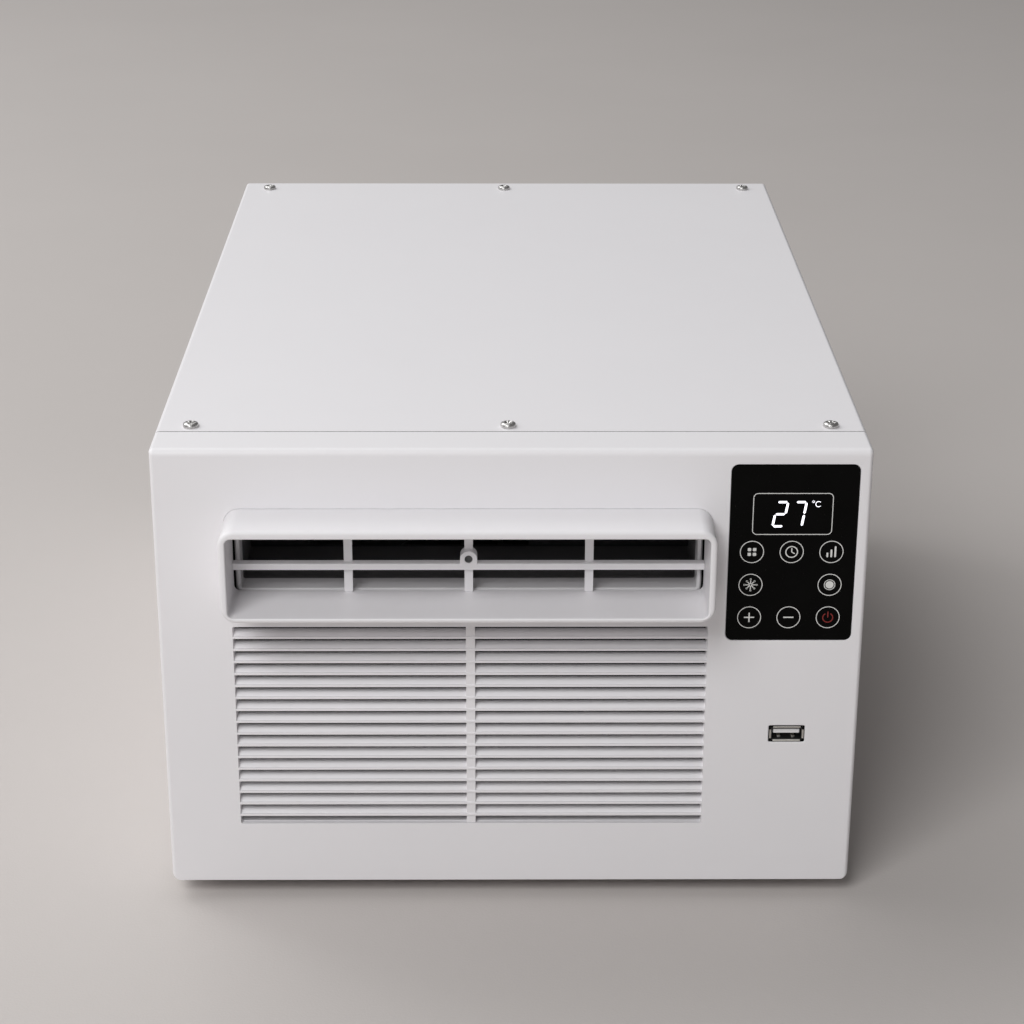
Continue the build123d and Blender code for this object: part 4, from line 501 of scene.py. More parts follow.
def soften(piece, bevel=0, angle=30):
    """Rounds a piece's edges and shades it softly, with its flat faces left flat."""
    margin = 5
    if bevel:
        edge = piece.modifiers.new("Soft edges", "BEVEL")
        edge.width = bevel
        edge.segments = 3
        edge.limit_method = "ANGLE"
        edge.angle_limit = radians(angle)
        settle(piece)
    for face in piece.data.polygons:
        face.use_smooth = True
    piece.data.set_sharp_from_angle(angle=radians(angle + margin))
    normals = piece.modifiers.new("Even shading", "WEIGHTED_NORMAL")
    normals.keep_sharp = True
    return settle(piece)


def seat(piece, slot, *nodes):
    """Puts a finished piece on the cabinet, in the place of the nodes that it stands for."""
    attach(piece, "cabinet")
    if nodes:
        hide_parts(*nodes)


def joined(name, *pieces):
    """Several objects as one, each with its own materials."""
    mesh = bmesh.new()
    materials = []
    for piece in pieces:
        for material in piece.data.materials:
            if material not in materials:
                materials.append(material)
        order = [materials.index(material) for material in piece.data.materials]
        first = len(mesh.faces)
        mesh.from_mesh(piece.data)
        mesh.faces.ensure_lookup_table()
        for face in mesh.faces[first:]:
            face.material_index = order[face.material_index]
        bpy.data.objects.remove(piece)
    whole = bpy.data.meshes.new(name)
    for material in materials:
        whole.materials.append(material)
    mesh.to_mesh(whole)
    mesh.free()
    return add(name, whole)


# Node trees


def add_node(tree, kind, settings, sockets):
    """Adds a node: its settings first, then the values or links of its sockets."""
    made = tree.nodes.new(kind)
    for key, value in (settings or {}).items():
        setattr(made, key, value)
    for key, value in (sockets or {}).items():
        if isinstance(value, bpy.types.NodeSocket):
            tree.links.new(value, made.inputs[key])
        elif made.inputs[key].type == "RGBA":
            made.inputs[key].default_value = (*value, 1)
        else:
            made.inputs[key].default_value = value
    return made.outputs


class Tree:
    """A Geometry Nodes tree with named inputs, ending in one finished mesh."""

    def __init__(self, name, **inputs):
        self.tree = bpy.data.node_groups.new(name, "GeometryNodeTree")
        face = self.tree.interface
        for label, kind in {"Shape": "Geometry", **inputs, "Finish": "Material"}.items():
            face.new_socket(label, in_out="INPUT", socket_type="NodeSocket" + kind)
        face.new_socket("Shape", in_out="OUTPUT", socket_type="NodeSocketGeometry")
        self.given = self.tree.nodes.new("NodeGroupInput").outputs

    def node(self, kind, settings=None, **sockets):
        """Adds a node; an underscore in a socket's name stands for a space."""
        links = {key.replace("_", " "): value for key, value in sockets.items()}
        return add_node(self.tree, "GeometryNode" + kind, settings, links)[0]

    def end(self, shape):
        """Real geometry with its finish, to the tree's output."""
        real = self.node("RealizeInstances", Geometry=shape)
        done = self.node("SetMaterial", Geometry=real, Material=self.given["Finish"])
        self.tree.links.new(done, self.tree.nodes.new("NodeGroupOutput").inputs[0])
        return self.tree


def row_tree():
    """Repeats a shape along a straight line."""
    tree = Tree("Row of shapes", Count="Int", Step="Vector")
    given = tree.given
    line = tree.node("MeshLine", {"mode": "OFFSET"}, Count=given["Count"], Offset=given["Step"])
    return tree.end(tree.node("InstanceOnPoints", Points=line, Instance=given["Shape"]))


def grid_tree():
    """Repeats a shape on a flat grid, each one turned a little, then turns and places the whole."""
    tree = Tree(
        "Shapes on a grid",
        Columns="Int",
        Rows="Int",
        Width="Float",
        Length="Float",
        Spin="Float",
        Seed="Int",
        Turn="Vector",
        Place="Vector",
    )
    given = tree.given
    grid = tree.node(
        "MeshGrid",
        Size_X=given["Width"],
        Size_Y=given["Length"],
        Vertices_X=given["Columns"],
        Vertices_Y=given["Rows"],
    )
    nodes = tree.tree
    chance = add_node(nodes, "FunctionNodeRandomValue", {"data_type": "FLOAT"}, {"Seed": given["Seed"]})[1]
    angle = add_node(nodes, "ShaderNodeMath", {"operation": "MULTIPLY"}, {0: chance, 1: given["Spin"]})[0]
    spin = add_node(nodes, "ShaderNodeCombineXYZ", None, {"Z": angle})[0]
    copies = tree.node("InstanceOnPoints", Points=grid, Instance=given["Shape"], Rotation=spin)
    place = given["Place"]
    return tree.end(tree.node("Transform", Geometry=copies, Translation=place, Rotation=given["Turn"]))


def repeat(piece, name, tree, **inputs):
    """A piece that a tree repeats, made plain at once."""
    piece.name = name
    nodes = piece.modifiers.new("Repeat", "NODES")
    nodes.node_group = tree
    inputs["Finish"] = piece.data.materials[0]
    for item in tree.interface.items_tree:
        if item.in_out == "INPUT" and item.name in inputs:
            nodes[item.identifier] = inputs[item.name]
    return settle(piece)


# Finishes


class Strand:
    """A shader socket that takes part in sums and products."""

    def __init__(self, finish, socket):
        self.finish = finish
        self.socket = socket

    def math(self, operation, first, second):
        """A Math node on two values."""
        return self.finish.node("ShaderNodeMath", {"operation": operation}, {0: first, 1: second})

    def __add__(self, other):
        return self.math("ADD", self, other)

    def __radd__(self, other):
        return self.math("ADD", other, self)

    def __sub__(self, other):
        return self.math("SUBTRACT", self, other)

    def __rsub__(self, other):
        return self.math("SUBTRACT", other, self)

    def __mul__(self, other):
        return self.math("MULTIPLY", self, other)

    def __rmul__(self, other):
        return self.math("MULTIPLY", other, self)


class Finish:
    """A procedural material on Object coordinates."""

    def __init__(self, name, **constants):
        self.material = bpy.data.materials.new(name)
        self.material.use_nodes = True
        self.tree = self.material.node_tree
        self.shader = self.tree.nodes["Principled BSDF"]
        for key, value in constants.items():
            self.shader.inputs[key.replace("_", " ")].default_value = value
        self.place = self.node("ShaderNodeTexCoord", output="Object")

    def node(self, kind, settings=None, sockets=None, output=0):
        """Adds a node and gives one of its outputs."""
        plain = {key: getattr(value, "socket", value) for key, value in (sockets or {}).items()}
        return Strand(self, add_node(self.tree, kind, settings, plain)[output])

    def noise(self, size, detail=2, stretch=None):
        """Soft noise whose grain is about a size, in millimetres."""
        place = self.place
        if stretch:
            place = self.node("ShaderNodeMapping", None, {"Vector": self.place, "Scale": stretch})
        sockets = {"Vector": place, "Scale": 1 / (size * MM), "Detail": detail, "Roughness": 0.55}
        return self.node("ShaderNodeTexNoise", None, sockets)

    def cells(self, size, output="Distance"):
        """Cells of about a size, in millimetres."""
        sockets = {"Vector": self.place, "Scale": 1 / (size * MM)}
        return self.node("ShaderNodeTexVoronoi", None, sockets, output)

    def tint(self, share, base, tones):
        """A mix of two tones of a colour by a share."""
        first, second = (shade(base, tone) for tone in tones)
        return self.node("ShaderNodeMix", {"data_type": "RGBA"}, {0: share, 6: first, 7: second}, 2)

    def span(self, value, low, high):
        """A value mapped from a span to 0 and 1, and held at its ends."""
        return self.node("ShaderNodeMapRange", None, {"Value": value, "From Min": low, "From Max": high})

    def feed(self, key, value):
        """Links a varying value to the shader."""
        self.tree.links.new(value.socket, self.shader.inputs[key])

    def look(self, tint, roughness, relief, depth):
        """The finished material, with a fine relief of a depth in millimetres."""
        sockets = {"Strength": 1, "Distance": depth * MM, "Height": relief}
        self.feed("Base Color", tint)
        self.feed("Roughness", roughness)
        self.feed("Normal", self.node("ShaderNodeBump", None, sockets))
        return self.material


def shade(value, factor):
    """A colour made lighter or darker."""
    return tuple(min(part * factor, 1) for part in value)


def plain_finish(name, base, roughness, grain, depth, spread=0.04, **constants):
    """A moulded or coated finish: faint mottling, uneven gloss and a fine grain."""
    wear = 0.05
    finish = Finish(name, **constants)
    patches = finish.tint(finish.noise(60, 3), base, (1 - spread, 1 + spread / 2))
    gloss = roughness - wear / 2 + wear * finish.noise(12, 4)
    return finish.look(patches, gloss, finish.noise(grain), depth)


def metal_finish(name, base, roughness, grain, stretch, depth, spread=0.12):
    """A bare metal with drawn streaks and dull patches."""
    wear = 0.16
    finish = Finish(name, Metallic=1)
    streaks = finish.noise(grain, 3, stretch)
    patches = finish.tint(finish.noise(4, 3), base, (1 - spread, 1 + spread))
    return finish.look(patches, roughness - wear / 2 + wear * streaks, streaks, depth)


def galvanised_finish(name, base):
    """Zinc-coated sheet with its spangle."""
    finish = Finish(name, Metallic=0.85)
    spangle = finish.node("ShaderNodeRGBToBW", None, {"Color": finish.cells(6, "Color")})
    tint = finish.tint(spangle, base, (0.8, 1.2))
    return finish.look(tint, 0.36 + 0.2 * spangle, finish.noise(1.5), 0.01)


def foam_finish(name, base):
    """Moulded bead foam."""
    finish = Finish(name)
    beads = finish.cells(3.5)
    tint = finish.tint(beads, base, (1.15, 0.7))
    return finish.look(tint, 0.85 + 0.1 * finish.noise(10), 1 - beads, 0.3)


def mesh_finish(name, base):
    """A fine woven mesh, darker between its threads."""
    finish = Finish(name)
    sockets = {"Vector": finish.place, "Scale": 260}
    threads = {}
    for place, axis in enumerate(("X", "Z")):
        settings = {"wave_type": "BANDS", "bands_direction": axis}
        threads[place] = finish.node("ShaderNodeTexWave", settings, sockets, "Fac")
    cover = finish.node("ShaderNodeMath", {"operation": "MAXIMUM"}, threads)
    return finish.look(finish.tint(cover, base, (0.4, 1)), 0.6 + 0.25 * cover, cover, 0.2)


def board_finish(name, base):
    """A circuit board with brighter tracks."""
    finish = Finish(name, Coat_Weight=0.3)
    sockets = {"Vector": finish.place, "Scale": 160, "Mortar Size": 0.03}
    tracks = finish.node("ShaderNodeTexBrick", {"offset": 0.35}, sockets, "Fac")
    tint = finish.tint(tracks, base, (1, 1.9))
    return finish.look(tint, 0.38 + 0.2 * finish.noise(4), tracks, 0.03)


def duct_finish(name, base):
    """A pale sleeve whose inside is painted darker from a little way back: painted shade of the duct's
    depth.
    """
    dark_from = FACE_Y + 16.4 * MM
    dark_at = FACE_Y + 17.2 * MM
    finish = Finish(name)
    depth = finish.node("ShaderNodeSeparateXYZ", None, {"Vector": finish.place}, "Y")
    # Painted shade: the colour darkens over a short span of depth inside the duct, then stays darkened.
    shadow = finish.span(depth + 0.6 * MM * finish.noise(20), dark_from, dark_at)
    tint = finish.tint(shadow, base, (1, 0.15))
    return finish.look(tint, 0.5 + 0.4 * shadow, finish.noise(1.2), 0.02)


def glass_finish(name, base):
    """A gloss black panel with a faint haze of touch marks."""
    finish = Finish(name, Specular_IOR_Level=0.06)
    smears = finish.span(finish.noise(11, 4, (1, 1, 0.7)), 0.45, 0.75)
    tint = finish.tint(smears, base, (1, 1.5))
    return finish.look(tint, 0.17 + 0.1 * smears, finish.noise(30, 1), 0.01)


def print_finish(name, base, light=0):
    """Screen-printed ink, or a lit segment under the panel."""
    finish = Finish(name, Roughness=0.55, Emission_Strength=light)
    cover = finish.noise(0.6)
    finish.feed("Base Color", finish.tint(cover, base, (0.9, 1)))
    if light:
        finish.feed("Emission Color", finish.tint(cover, base, (0.92, 1)))
    return finish.material


def floor_finish(name, base):
    """Pale studio paper."""
    finish = Finish(name, Specular_IOR_Level=0.2)
    tint = finish.tint(finish.noise(250, 4), base, (0.97, 1.03))
    return finish.look(tint, 0.85 + 0.1 * finish.noise(10), finish.noise(1.2, 3), 0.08)


FINISHES = {}


def make_finishes(colours):
    """Every finish, by name; grains and the depths of reliefs are in millimetres."""
    # Near-black of the socket's collar: painted shade of the gap round the socket's lips.
    gasket = (0.003, 0.003, 0.003)
    FINISHES.update(
        moulding=plain_finish("White moulding", colours.moulding, 0.46, 0.9, 0.012, 0.015),
        sheet=plain_finish("White powder coat", colours.sheet, 0.44, 1.6, 0.02, 0.015),
        duct=duct_finish("Grey moulding", colours.inner),
        # Grey recess: the inner moulding darkened, as painted shade inside the boss's hole.
        recess=plain_finish("Grey recess", shade(colours.inner, 0.27), 0.6, 1, 0.02, 0.1),
        black=plain_finish("Black moulding", (0.018, 0.018, 0.019), 0.5, 1.1, 0.03, 0.25),
        # Black enamel of the compressor and the accumulator; on the socket's tube it is painted shade of
        # the socket's cavity.
        shell=plain_finish("Black enamel", (0.014, 0.014, 0.015), 0.3, 2.2, 0.03, 0.2),
        gasket=plain_finish("Black gasket", gasket, 0.8, 1, 0.02, 0.2, Specular_IOR_Level=0.1),
        rubber=plain_finish("Rubber", colours.rubber, 0.72, 0.7, 0.05, 0.3),
        pale=plain_finish("Pale plastic", (0.88, 0.87, 0.88), 0.42, 0.8, 0.01),
        # Near-black finish of inner parts; on the casing's front cut edge it is painted shade of the seam.
        dark=plain_finish("Dark inner skin", (0.035, 0.035, 0.035), 0.8, 1.5, 0.06, 0.3),
        zinc=metal_finish("Zinc plate", colours.zinc, 0.34, 0.9, (1, 1, 0.2), 0.01),
        nickel=metal_finish("Nickel plate", colours.nickel, 0.42, 0.6, (0.2, 1, 1), 0.006),
        copper=metal_finish("Copper", colours.copper, 0.34, 1.6, (1, 1, 1), 0.01, 0.2),
        brass=metal_finish("Gold plate", (0.80, 0.58, 0.26), 0.25, 0.6, (1, 0.2, 1), 0.005),
        fins=metal_finish("Aluminium fins", colours.fins, 0.4, 2, (1, 1, 0.15), 0.01),
        galvanised=galvanised_finish("Galvanised sheet", (0.52, 0.53, 0.54)),
        foam=foam_finish("Bead foam", (0.07, 0.07, 0.071)),
        mesh=mesh_finish("Filter mesh", (0.05, 0.05, 0.05)),
        board=board_finish("Circuit board", (0.012, 0.075, 0.028)),
        glass=glass_finish("Black touch panel", colours.glass),
        print=print_finish("White print", colours.print),
        power=print_finish("Red print", colours.power),
        lamp=print_finish("Lit segment", colours.lamp, 1.4),
        floor=floor_finish("Studio floor", colours.floor),
    )


# Pieces


class AIR_UNIT_OT_front_panel(bpy.types.Operator):
    """Front panel with its rounded edge, cut-outs and rear lip"""

    bl_idname = "air_unit.front_panel"
    bl_label = "Front panel"

    side_share = 0.65
    low_share = 0.2
    corner_share = 0.5

    def execute(self, context):
        scene = context.scene
        sizes = scene.unit_casing
        wall = sizes.panel_wall
        shell = Shell()
        turns = [(1 - cos(bend), 1 - sin(bend)) for bend in bends(9)]
        loops = [self.outline(sizes, sizes.edge * depth, sizes.edge * inset) for depth, inset in turns]
        loops.append(self.outline(sizes, sizes.panel_depth))
        low = sizes.low + sizes.lift
        middle = (0, (low + sizes.high) / 2)
        inside = (sizes.width - 2 * wall, sizes.high - low - 2 * wall)
        loops += frames(middle, inside, sizes.inner_corner, [(0, sizes.panel_depth), (0, wall)])
        rings = shell.loft(loops)
        cuts = [shell.loft(cut) for cut in self.cuts(scene)]
        shell.cap(rings[0], [cut[0] for cut in cuts])
        shell.cap(rings[-1], [cut[-1] for cut in cuts])
        half = sizes.width / 2
        outer = arch(half - sizes.lap, sizes.lip_low, sizes.high - sizes.lap, sizes.corner - sizes.lap)
        inset = sizes.lap + sizes.lip_wall
        inner = arch(half - inset, sizes.lip_low, sizes.high - inset, sizes.lip_corner)
        shell.prism(outer + inner[::-1], sizes.panel_depth - sizes.lip_root, sizes.lip_back)
        seat(shell.piece("panel_front", "moulding"), "white_moulding", "front_panel")
        return {"FINISHED"}

    def outline(self, sizes, depth, inset=0):
        """The panel's outline at a depth, drawn in most along the top and least along the bottom."""
        points = box_loop(
            sizes.width / 2 - self.side_share * inset,
            sizes.low + sizes.lift + self.low_share * inset,
            sizes.high - inset,
            sizes.corner - self.corner_share * inset,
            sizes.low_corner - self.corner_share * inset,
        )
        return level(points, depth)

    def cuts(self, scene):
        """Loops of the cut-outs for the hood, the grille, the socket and the touch panel."""
        outlet = scene.unit_outlet
        grille = scene.unit_grille
        socket = scene.unit_socket
        touch = scene.unit_touch
        wall = scene.unit_casing.panel_wall
        edge = scene.unit_casing.cut_edge
        play = outlet.play
        well = [(-edge, 0), (-0.4 * edge, 0.3 * edge), (0, edge), (0, touch.sheet)]
        well += [(touch.ledge, touch.sheet), (touch.ledge, wall)]
        for piece, room, corner, profile in (
            (outlet, play, outlet.corner + play, self.round_edge(0.5 * edge, wall)),
            (grille, 0, grille.corner, [(0, 0), (0, wall)]),
            (socket, socket.lip + socket.gap, socket.lip, self.round_edge(1.5 * edge, wall)),
            (touch, play, touch.corner + play, well),
        ):
            size = (piece.width + 2 * room, piece.height + 2 * room)
            yield frames((piece.x, piece.z), size, corner, profile)

    def round_edge(self, soft, wall):
        """Insets and depths of a straight cut-out with a round front edge."""
        return [*((soft * (sin(bend) - 1), soft * (1 - cos(bend))) for bend in bends(30)), (0, wall)]


class AIR_UNIT_OT_casing(bpy.types.Operator):
    """Sheet wrap over the top and sides, with its air slots"""

    bl_idname = "air_unit.casing"
    bl_label = "Casing wrap"

    # Strips between the sheet's rings: its front cut edge, which takes the near-black finish as painted
    # shade of the seam, its outside and its inside
    shaded_edge_row = 0
    outer_row = 2
    inner_row = 5

    def execute(self, context):
        scene = context.scene
        sizes = scene.unit_casing
        front = sizes.panel_depth + sizes.seam
        back = sizes.back
        soft = sizes.sheet_edge
        outer, skin, inner = (
            arch(sizes.width / 2 - inset, sizes.low, sizes.high - inset, sizes.corner - inset)
            for inset in (0, soft, sizes.sheet)
        )
        rows = [(inner, front), (skin, front), (outer, front + soft)]
        rows += [(outer, back - soft), (skin, back), (inner, back)]
        shell = Shell()
        rings = [shell.ring(level(points, depth)) for points, depth in rows]
        last = len(outer) - 1
        # The upright walls, which the slots go through: their step along the arch and their side
        walls = {0: -1, last - 1: 1}
        for row in range(len(rings)):
            for step in range(last):
                if row in (self.outer_row, self.inner_row) and step in walls:
                    continue
                face = shell.mesh.faces.new(self.quad(rings, row, step))
                # The front cut edge takes the second, near-black finish: painted shade of the seam between
                # the front panel and the wrap.
                face.material_index = 1 if row == self.shaded_edge_row else 0
        for step, side in walls.items():
            slots = [shell.loft(loops) for loops in self.slots(sizes, side)]
            shell.cap(self.quad(rings, self.outer_row, step), [slot[0] for slot in slots])
            shell.cap(self.quad(rings, self.inner_row, step), [slot[-1] for slot in slots])
        for end in (0, last):
            shell.cap([ring[end] for ring in rings])
        seat(shell.piece("casing_sheet", "sheet", "dark"), "white_sheet", "casing_wrap")
        return {"FINISHED"}

    def quad(self, rings, row, step):
        """Corners of a face between a ring and the next."""
        after = rings[(row + 1) % len(rings)]
        return (rings[row][step], rings[row][step + 1], after[step + 1], after[step])

    def slots(self, sizes, side):
        """Loops of one side's air slots, from the outside in."""
        half = sizes.width / 2
        soft = sizes.sheet_edge
        for row in range(sizes.slot_rows):
            middle = sizes.slot_z + (row - (sizes.slot_rows - 1) / 2) * sizes.slot_pitch
            loops = []
            for x, grow in ((half, soft), (half - soft, 0), (half - sizes.sheet, 0)):
                size = (sizes.slot_length + 2 * grow, sizes.slot_height + 2 * grow)
                outline = shift(rounded(*size, sizes.slot_corner + grow, 4), (sizes.slot_depth, middle))
                loops.append([spot(side * x, depth, z) for depth, z in outline])
            yield loops


class AIR_UNIT_OT_outlet(bpy.types.Operator):
    """Outlet hood, the grid inside it and the duct behind"""

    bl_idname = "air_unit.outlet"
    bl_label = "Outlet"

    steps = 10
    hole_steps = 24

    def execute(self, context):
        scene = context.scene
        sizes = scene.unit_outlet
        wall = scene.unit_casing.panel_wall
        back = wall + sizes.flange_wall
        middle = (sizes.x, sizes.z - sizes.inner_drop)
        inner = (sizes.width - 2 * sizes.wall, sizes.height - 2 * sizes.wall)
        self.hood(sizes, wall, back, middle, inner)
        self.grid(sizes, back, middle, inner)
        self.duct(sizes, middle)
        return {"FINISHED"}

    def hood(self, sizes, wall, back, middle, inner):
        """The hood: its flange, its outside, its rounded rim and its inside."""
        turns = [(1 - cos(bend), 1 - sin(bend)) for bend in bends(15)]
        rim = -sizes.out
        outside = [(-sizes.flange, back), (-sizes.flange, wall), (0, wall)]
        outside += [(sizes.rim * across, rim + sizes.rim * along) for across, along in turns]
        inside = [(-sizes.lip * across, rim + sizes.lip * along) for across, along in reversed(turns)]
        inside.append((0, back))
        size = (sizes.width, sizes.height)
        rings = frames((sizes.x, sizes.z), size, sizes.corner, outside, self.steps)
        rings += frames(middle, inner, sizes.inner_corner, inside, self.steps)
        shell = Shell()
        shell.loft(rings, True)
        seat(shell.piece("hood", "moulding"), "white_moulding", "outlet_hood")

    def grid(self, sizes, back, middle, inner):
        """Three upright bars, a rail across them and the screw boss on the rail."""
        front = -sizes.stand
        rail = sizes.z - sizes.rail_drop
        low = middle[1] - inner[1] / 2
        high = middle[1] + inner[1] / 2
        shell = Shell()
        half = sizes.bar_width / 2
        for place in (-1, 0, 1):
            x = sizes.x + place * sizes.bar_pitch
            shell.block((x - half, back - sizes.bar_depth, low), (x + half, back, high))
        half = inner[0] / 2
        tall = sizes.rail_height / 2
        rear = front + sizes.rail_depth
        shell.block((sizes.x - half, front, rail - tall), (sizes.x + half, rear, rail + tall))
        bars = shell.piece("bars", "moulding", bevel=sizes.bar_round)

        centre = (sizes.x, rail + tall + sizes.boss_rise)
        outline = arc(sizes.boss, 0, 180, 16, centre)
        outline += [(sizes.x - sizes.boss, rail), (sizes.x + sizes.boss, rail)]
        hole = circle(sizes.boss_hole, self.hole_steps, centre)
        face = front - sizes.boss_stand
        shell = Shell()
        outer = shell.ring(level(outline, face))
        behind = shell.ring(level(outline, front + sizes.boss_depth))
        rim = circle(sizes.boss_hole + sizes.boss_rim, self.hole_steps, centre)
        mouth = shell.ring(level(rim, face))
        throat = shell.ring(level(hole, face + sizes.boss_rim))
        shell.cap(outer, [mouth])
        shell.bridge(outer, behind)
        shell.bridge(mouth, throat)
        shell.cap(behind)
        # Faces from here on line the boss's hole and take the grey recess: painted shade of the hole.
        pale = len(shell.mesh.faces)
        floor = shell.ring(level(hole, front + sizes.boss_hole_depth))
        shell.bridge(throat, floor)
        shell.cap(floor)
        shell.mesh.faces.ensure_lookup_table()
        for item in shell.mesh.faces[pale:]:
            item.material_index = 1
        knob = shell.piece("knob", "moulding", "recess")
        seat(joined("grid", bars, knob), "white_moulding", "outlet_grid")

    def duct(self, sizes, middle):
        """The sleeve behind the grid, as large as its node."""
        low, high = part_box("outlet_duct")
        start = low.y - FACE_Y
        end = high.y - FACE_Y
        wall = sizes.duct_wall
        soft = sizes.duct_edge
        profile = [(0, end), (0, start + soft), (soft, start)]
        profile += [(wall - soft, start), (wall, start + soft), (wall, end)]
        size = (high.x - low.x, high.z - low.z)
        shell = Shell()
        shell.loft(frames(middle, size, sizes.duct_corner, profile, self.steps), True)
        seat(shell.piece("duct", "duct"), "grey_moulding", "outlet_duct")


class AIR_UNIT_OT_grille(bpy.types.Operator):
    """Intake grille: slanted blades, their frame and the upright bar"""

    bl_idname = "air_unit.grille"
    bl_label = "Intake grille"

    steps = 8

    def execute(self, context):
        scene = context.scene
        sizes = scene.unit_grille
        wall = scene.unit_casing.panel_wall
        first = sizes.z + sizes.height / 2 - sizes.drop
        half = sizes.width / 2
        profile = self.profile(sizes)
        shell = Shell()
        shell.solid([[spot(sizes.x + side, y, first + z) for y, z in profile] for side in (-half, half)])
        blade = shell.piece("blade", "moulding")
        blades = repeat(blade, "blades", row_tree(), Count=sizes.blades, Step=(0, 0, -sizes.pitch))

        centre = (sizes.x, sizes.z)
        outer = (sizes.width + 2 * sizes.lap, sizes.height + 2 * sizes.lap)
        clear = (sizes.width - 2 * sizes.frame_step, sizes.height - 2 * sizes.frame_step)
        back = wall + sizes.frame_depth
        shell = Shell()
        shell.sleeve(centre, (outer, sizes.corner), (clear, sizes.corner), wall, back)
        border = shell.piece("border", "moulding")
        half = sizes.mullion / 2
        tall = clear[1] / 2
        shell = Shell()
        shell.block((sizes.x - half, sizes.setback, sizes.z - tall), (sizes.x + half, back, sizes.z + tall))
        upright = shell.piece("upright", "moulding")
        seat(joined("grille", blades, border, upright), "white_moulding", "intake_grille")
        return {"FINISHED"}

    def profile(self, sizes):
        """Section of a blade: a round front edge, a level ledge, then a slope that eases off."""
        soft = sizes.round
        run = (sizes.depth - sizes.ledge) / self.steps
        top = [(soft, sizes.edge), (sizes.ledge, sizes.edge)]
        for step in range(self.steps):
            share = (1 - (step + 0.5) / self.steps) ** 2
            lean = sizes.back_slope + (sizes.slope - sizes.back_slope) * share
            top.append((top[-1][0] + run, top[-1][1] + run * tan(lean)))
        nose = arc(soft, 180, 90, 5, (soft, sizes.edge - soft))[:-1]
        under = arc(soft, 270, 180, 5, (soft, soft))
        return [*nose, *top, (sizes.depth, top[-1][1] / 2), *under]


class AIR_UNIT_OT_screws(bpy.types.Operator):
    """Pan-head screws of the casing, each with a cross recess"""

    bl_idname = "air_unit.screws"
    bl_label = "Casing screws"

    # Radius and height of the head's crown, as shares of the head's radius and height
    crown = ((0.97, 0), (1, 0.12), (1, 0.3), (0.97588, 0.575), (0.91, 0.77631), (0.7, 0.92), (0.4, 0.985))
    # Reach, thickness and height of the recess at its floor and above the head
    recess = ((0.30, 0.13, 0.45), (0.60, 0.17, 1.05))
    first_seed = 3

    def execute(self, context):
        scene = context.scene
        sizes = scene.unit_fittings
        casing = scene.unit_casing
        tree = grid_tree()
        front = sizes.front_depth
        rear = casing.back - sizes.rear_inset
        middle = (front + rear) / 2
        side_front = casing.panel_depth + casing.seam + sizes.low_inset
        side_back = casing.back - casing.lap - sizes.low_inset
        side_middle = (side_front + side_back) / 2
        wide = casing.width - 2 * sizes.top_inset
        low_wide = casing.width - 2 * sizes.low_inset
        rear_place = spot(0, casing.back, sizes.low_rise)
        places = [
            ("top", 2, 2, wide, rear - front, (0, 0, 0), spot(0, middle, casing.high)),
            ("middle", 1, 2, 0, rear - front, (0, 0, 0), spot(sizes.middle_x, middle, casing.high)),
            ("rear", 2, 1, low_wide, 0, (-pi / 2, 0, 0), rear_place),
        ]
        for side in (-1, 1):
            place = spot(side * casing.width / 2, side_middle, sizes.low_rise)
            places.append(("side", 1, 2, 0, side_back - side_front, (0, side * pi / 2, 0), place))
        groups = []
        labels = ("Columns", "Rows", "Width", "Length", "Turn", "Place")
        for seed, (name, *values) in enumerate(places, self.first_seed):
            inputs = dict(zip(labels, values), Spin=pi, Seed=seed)
            groups.append(repeat(self.screw(sizes), name, tree, **inputs))
        seat(joined("screws", *groups), "zinc_steel", "casing_screws")
        return {"FINISHED"}

    def screw(self, sizes):
        """One screw that stands up from the origin."""
        head = sizes.head
        tall = sizes.head_height
        profile = [(sizes.shank, -sizes.shank_length), (sizes.shank, 0)]
        profile += [(head * radius, tall * height) for radius, height in self.crown]
        shell = Shell()
        shell.turn(profile, 36)
        body = shell.piece("screw", "zinc")
        cutter = Shell()
        for along, across in ((1, 0), (0, 1)):
            loops = []
            for reach, thick, height in self.recess:
                x = head * (reach * along + thick * across)
                y = head * (reach * across + thick * along)
                corners = ((-x, -y), (x, -y), (x, y), (-x, y))
                loops.append([Vector((*corner, tall * height)) for corner in corners])
            cutter.solid(loops)
        tool = add("recess", cutter.data("recess"))
        cut = body.modifiers.new("Recess", "BOOLEAN")
        cut.operation = "DIFFERENCE"
        cut.object = tool
        cut.solver = "EXACT"
        cut.use_self = True
        settle(body)
        bpy.data.objects.remove(tool)
        return soften(body)


class Ink(Shell):
    """Printed marks, all of one height."""

    def __init__(self, height):
        super().__init__()
        self.height = height

    def mark(self, outline, *holes):
        """A flat mark, with holes."""
        self.prism(outline, -self.height, 0, holes)

    def line(self, points, width):
        """A line with round ends."""
        self.mark(stroke(points, width))

    def band(self, middle, radius, width):
        """A circle drawn with a line."""
        self.mark(circle(radius, 48, middle), circle(radius - width, 48, middle))


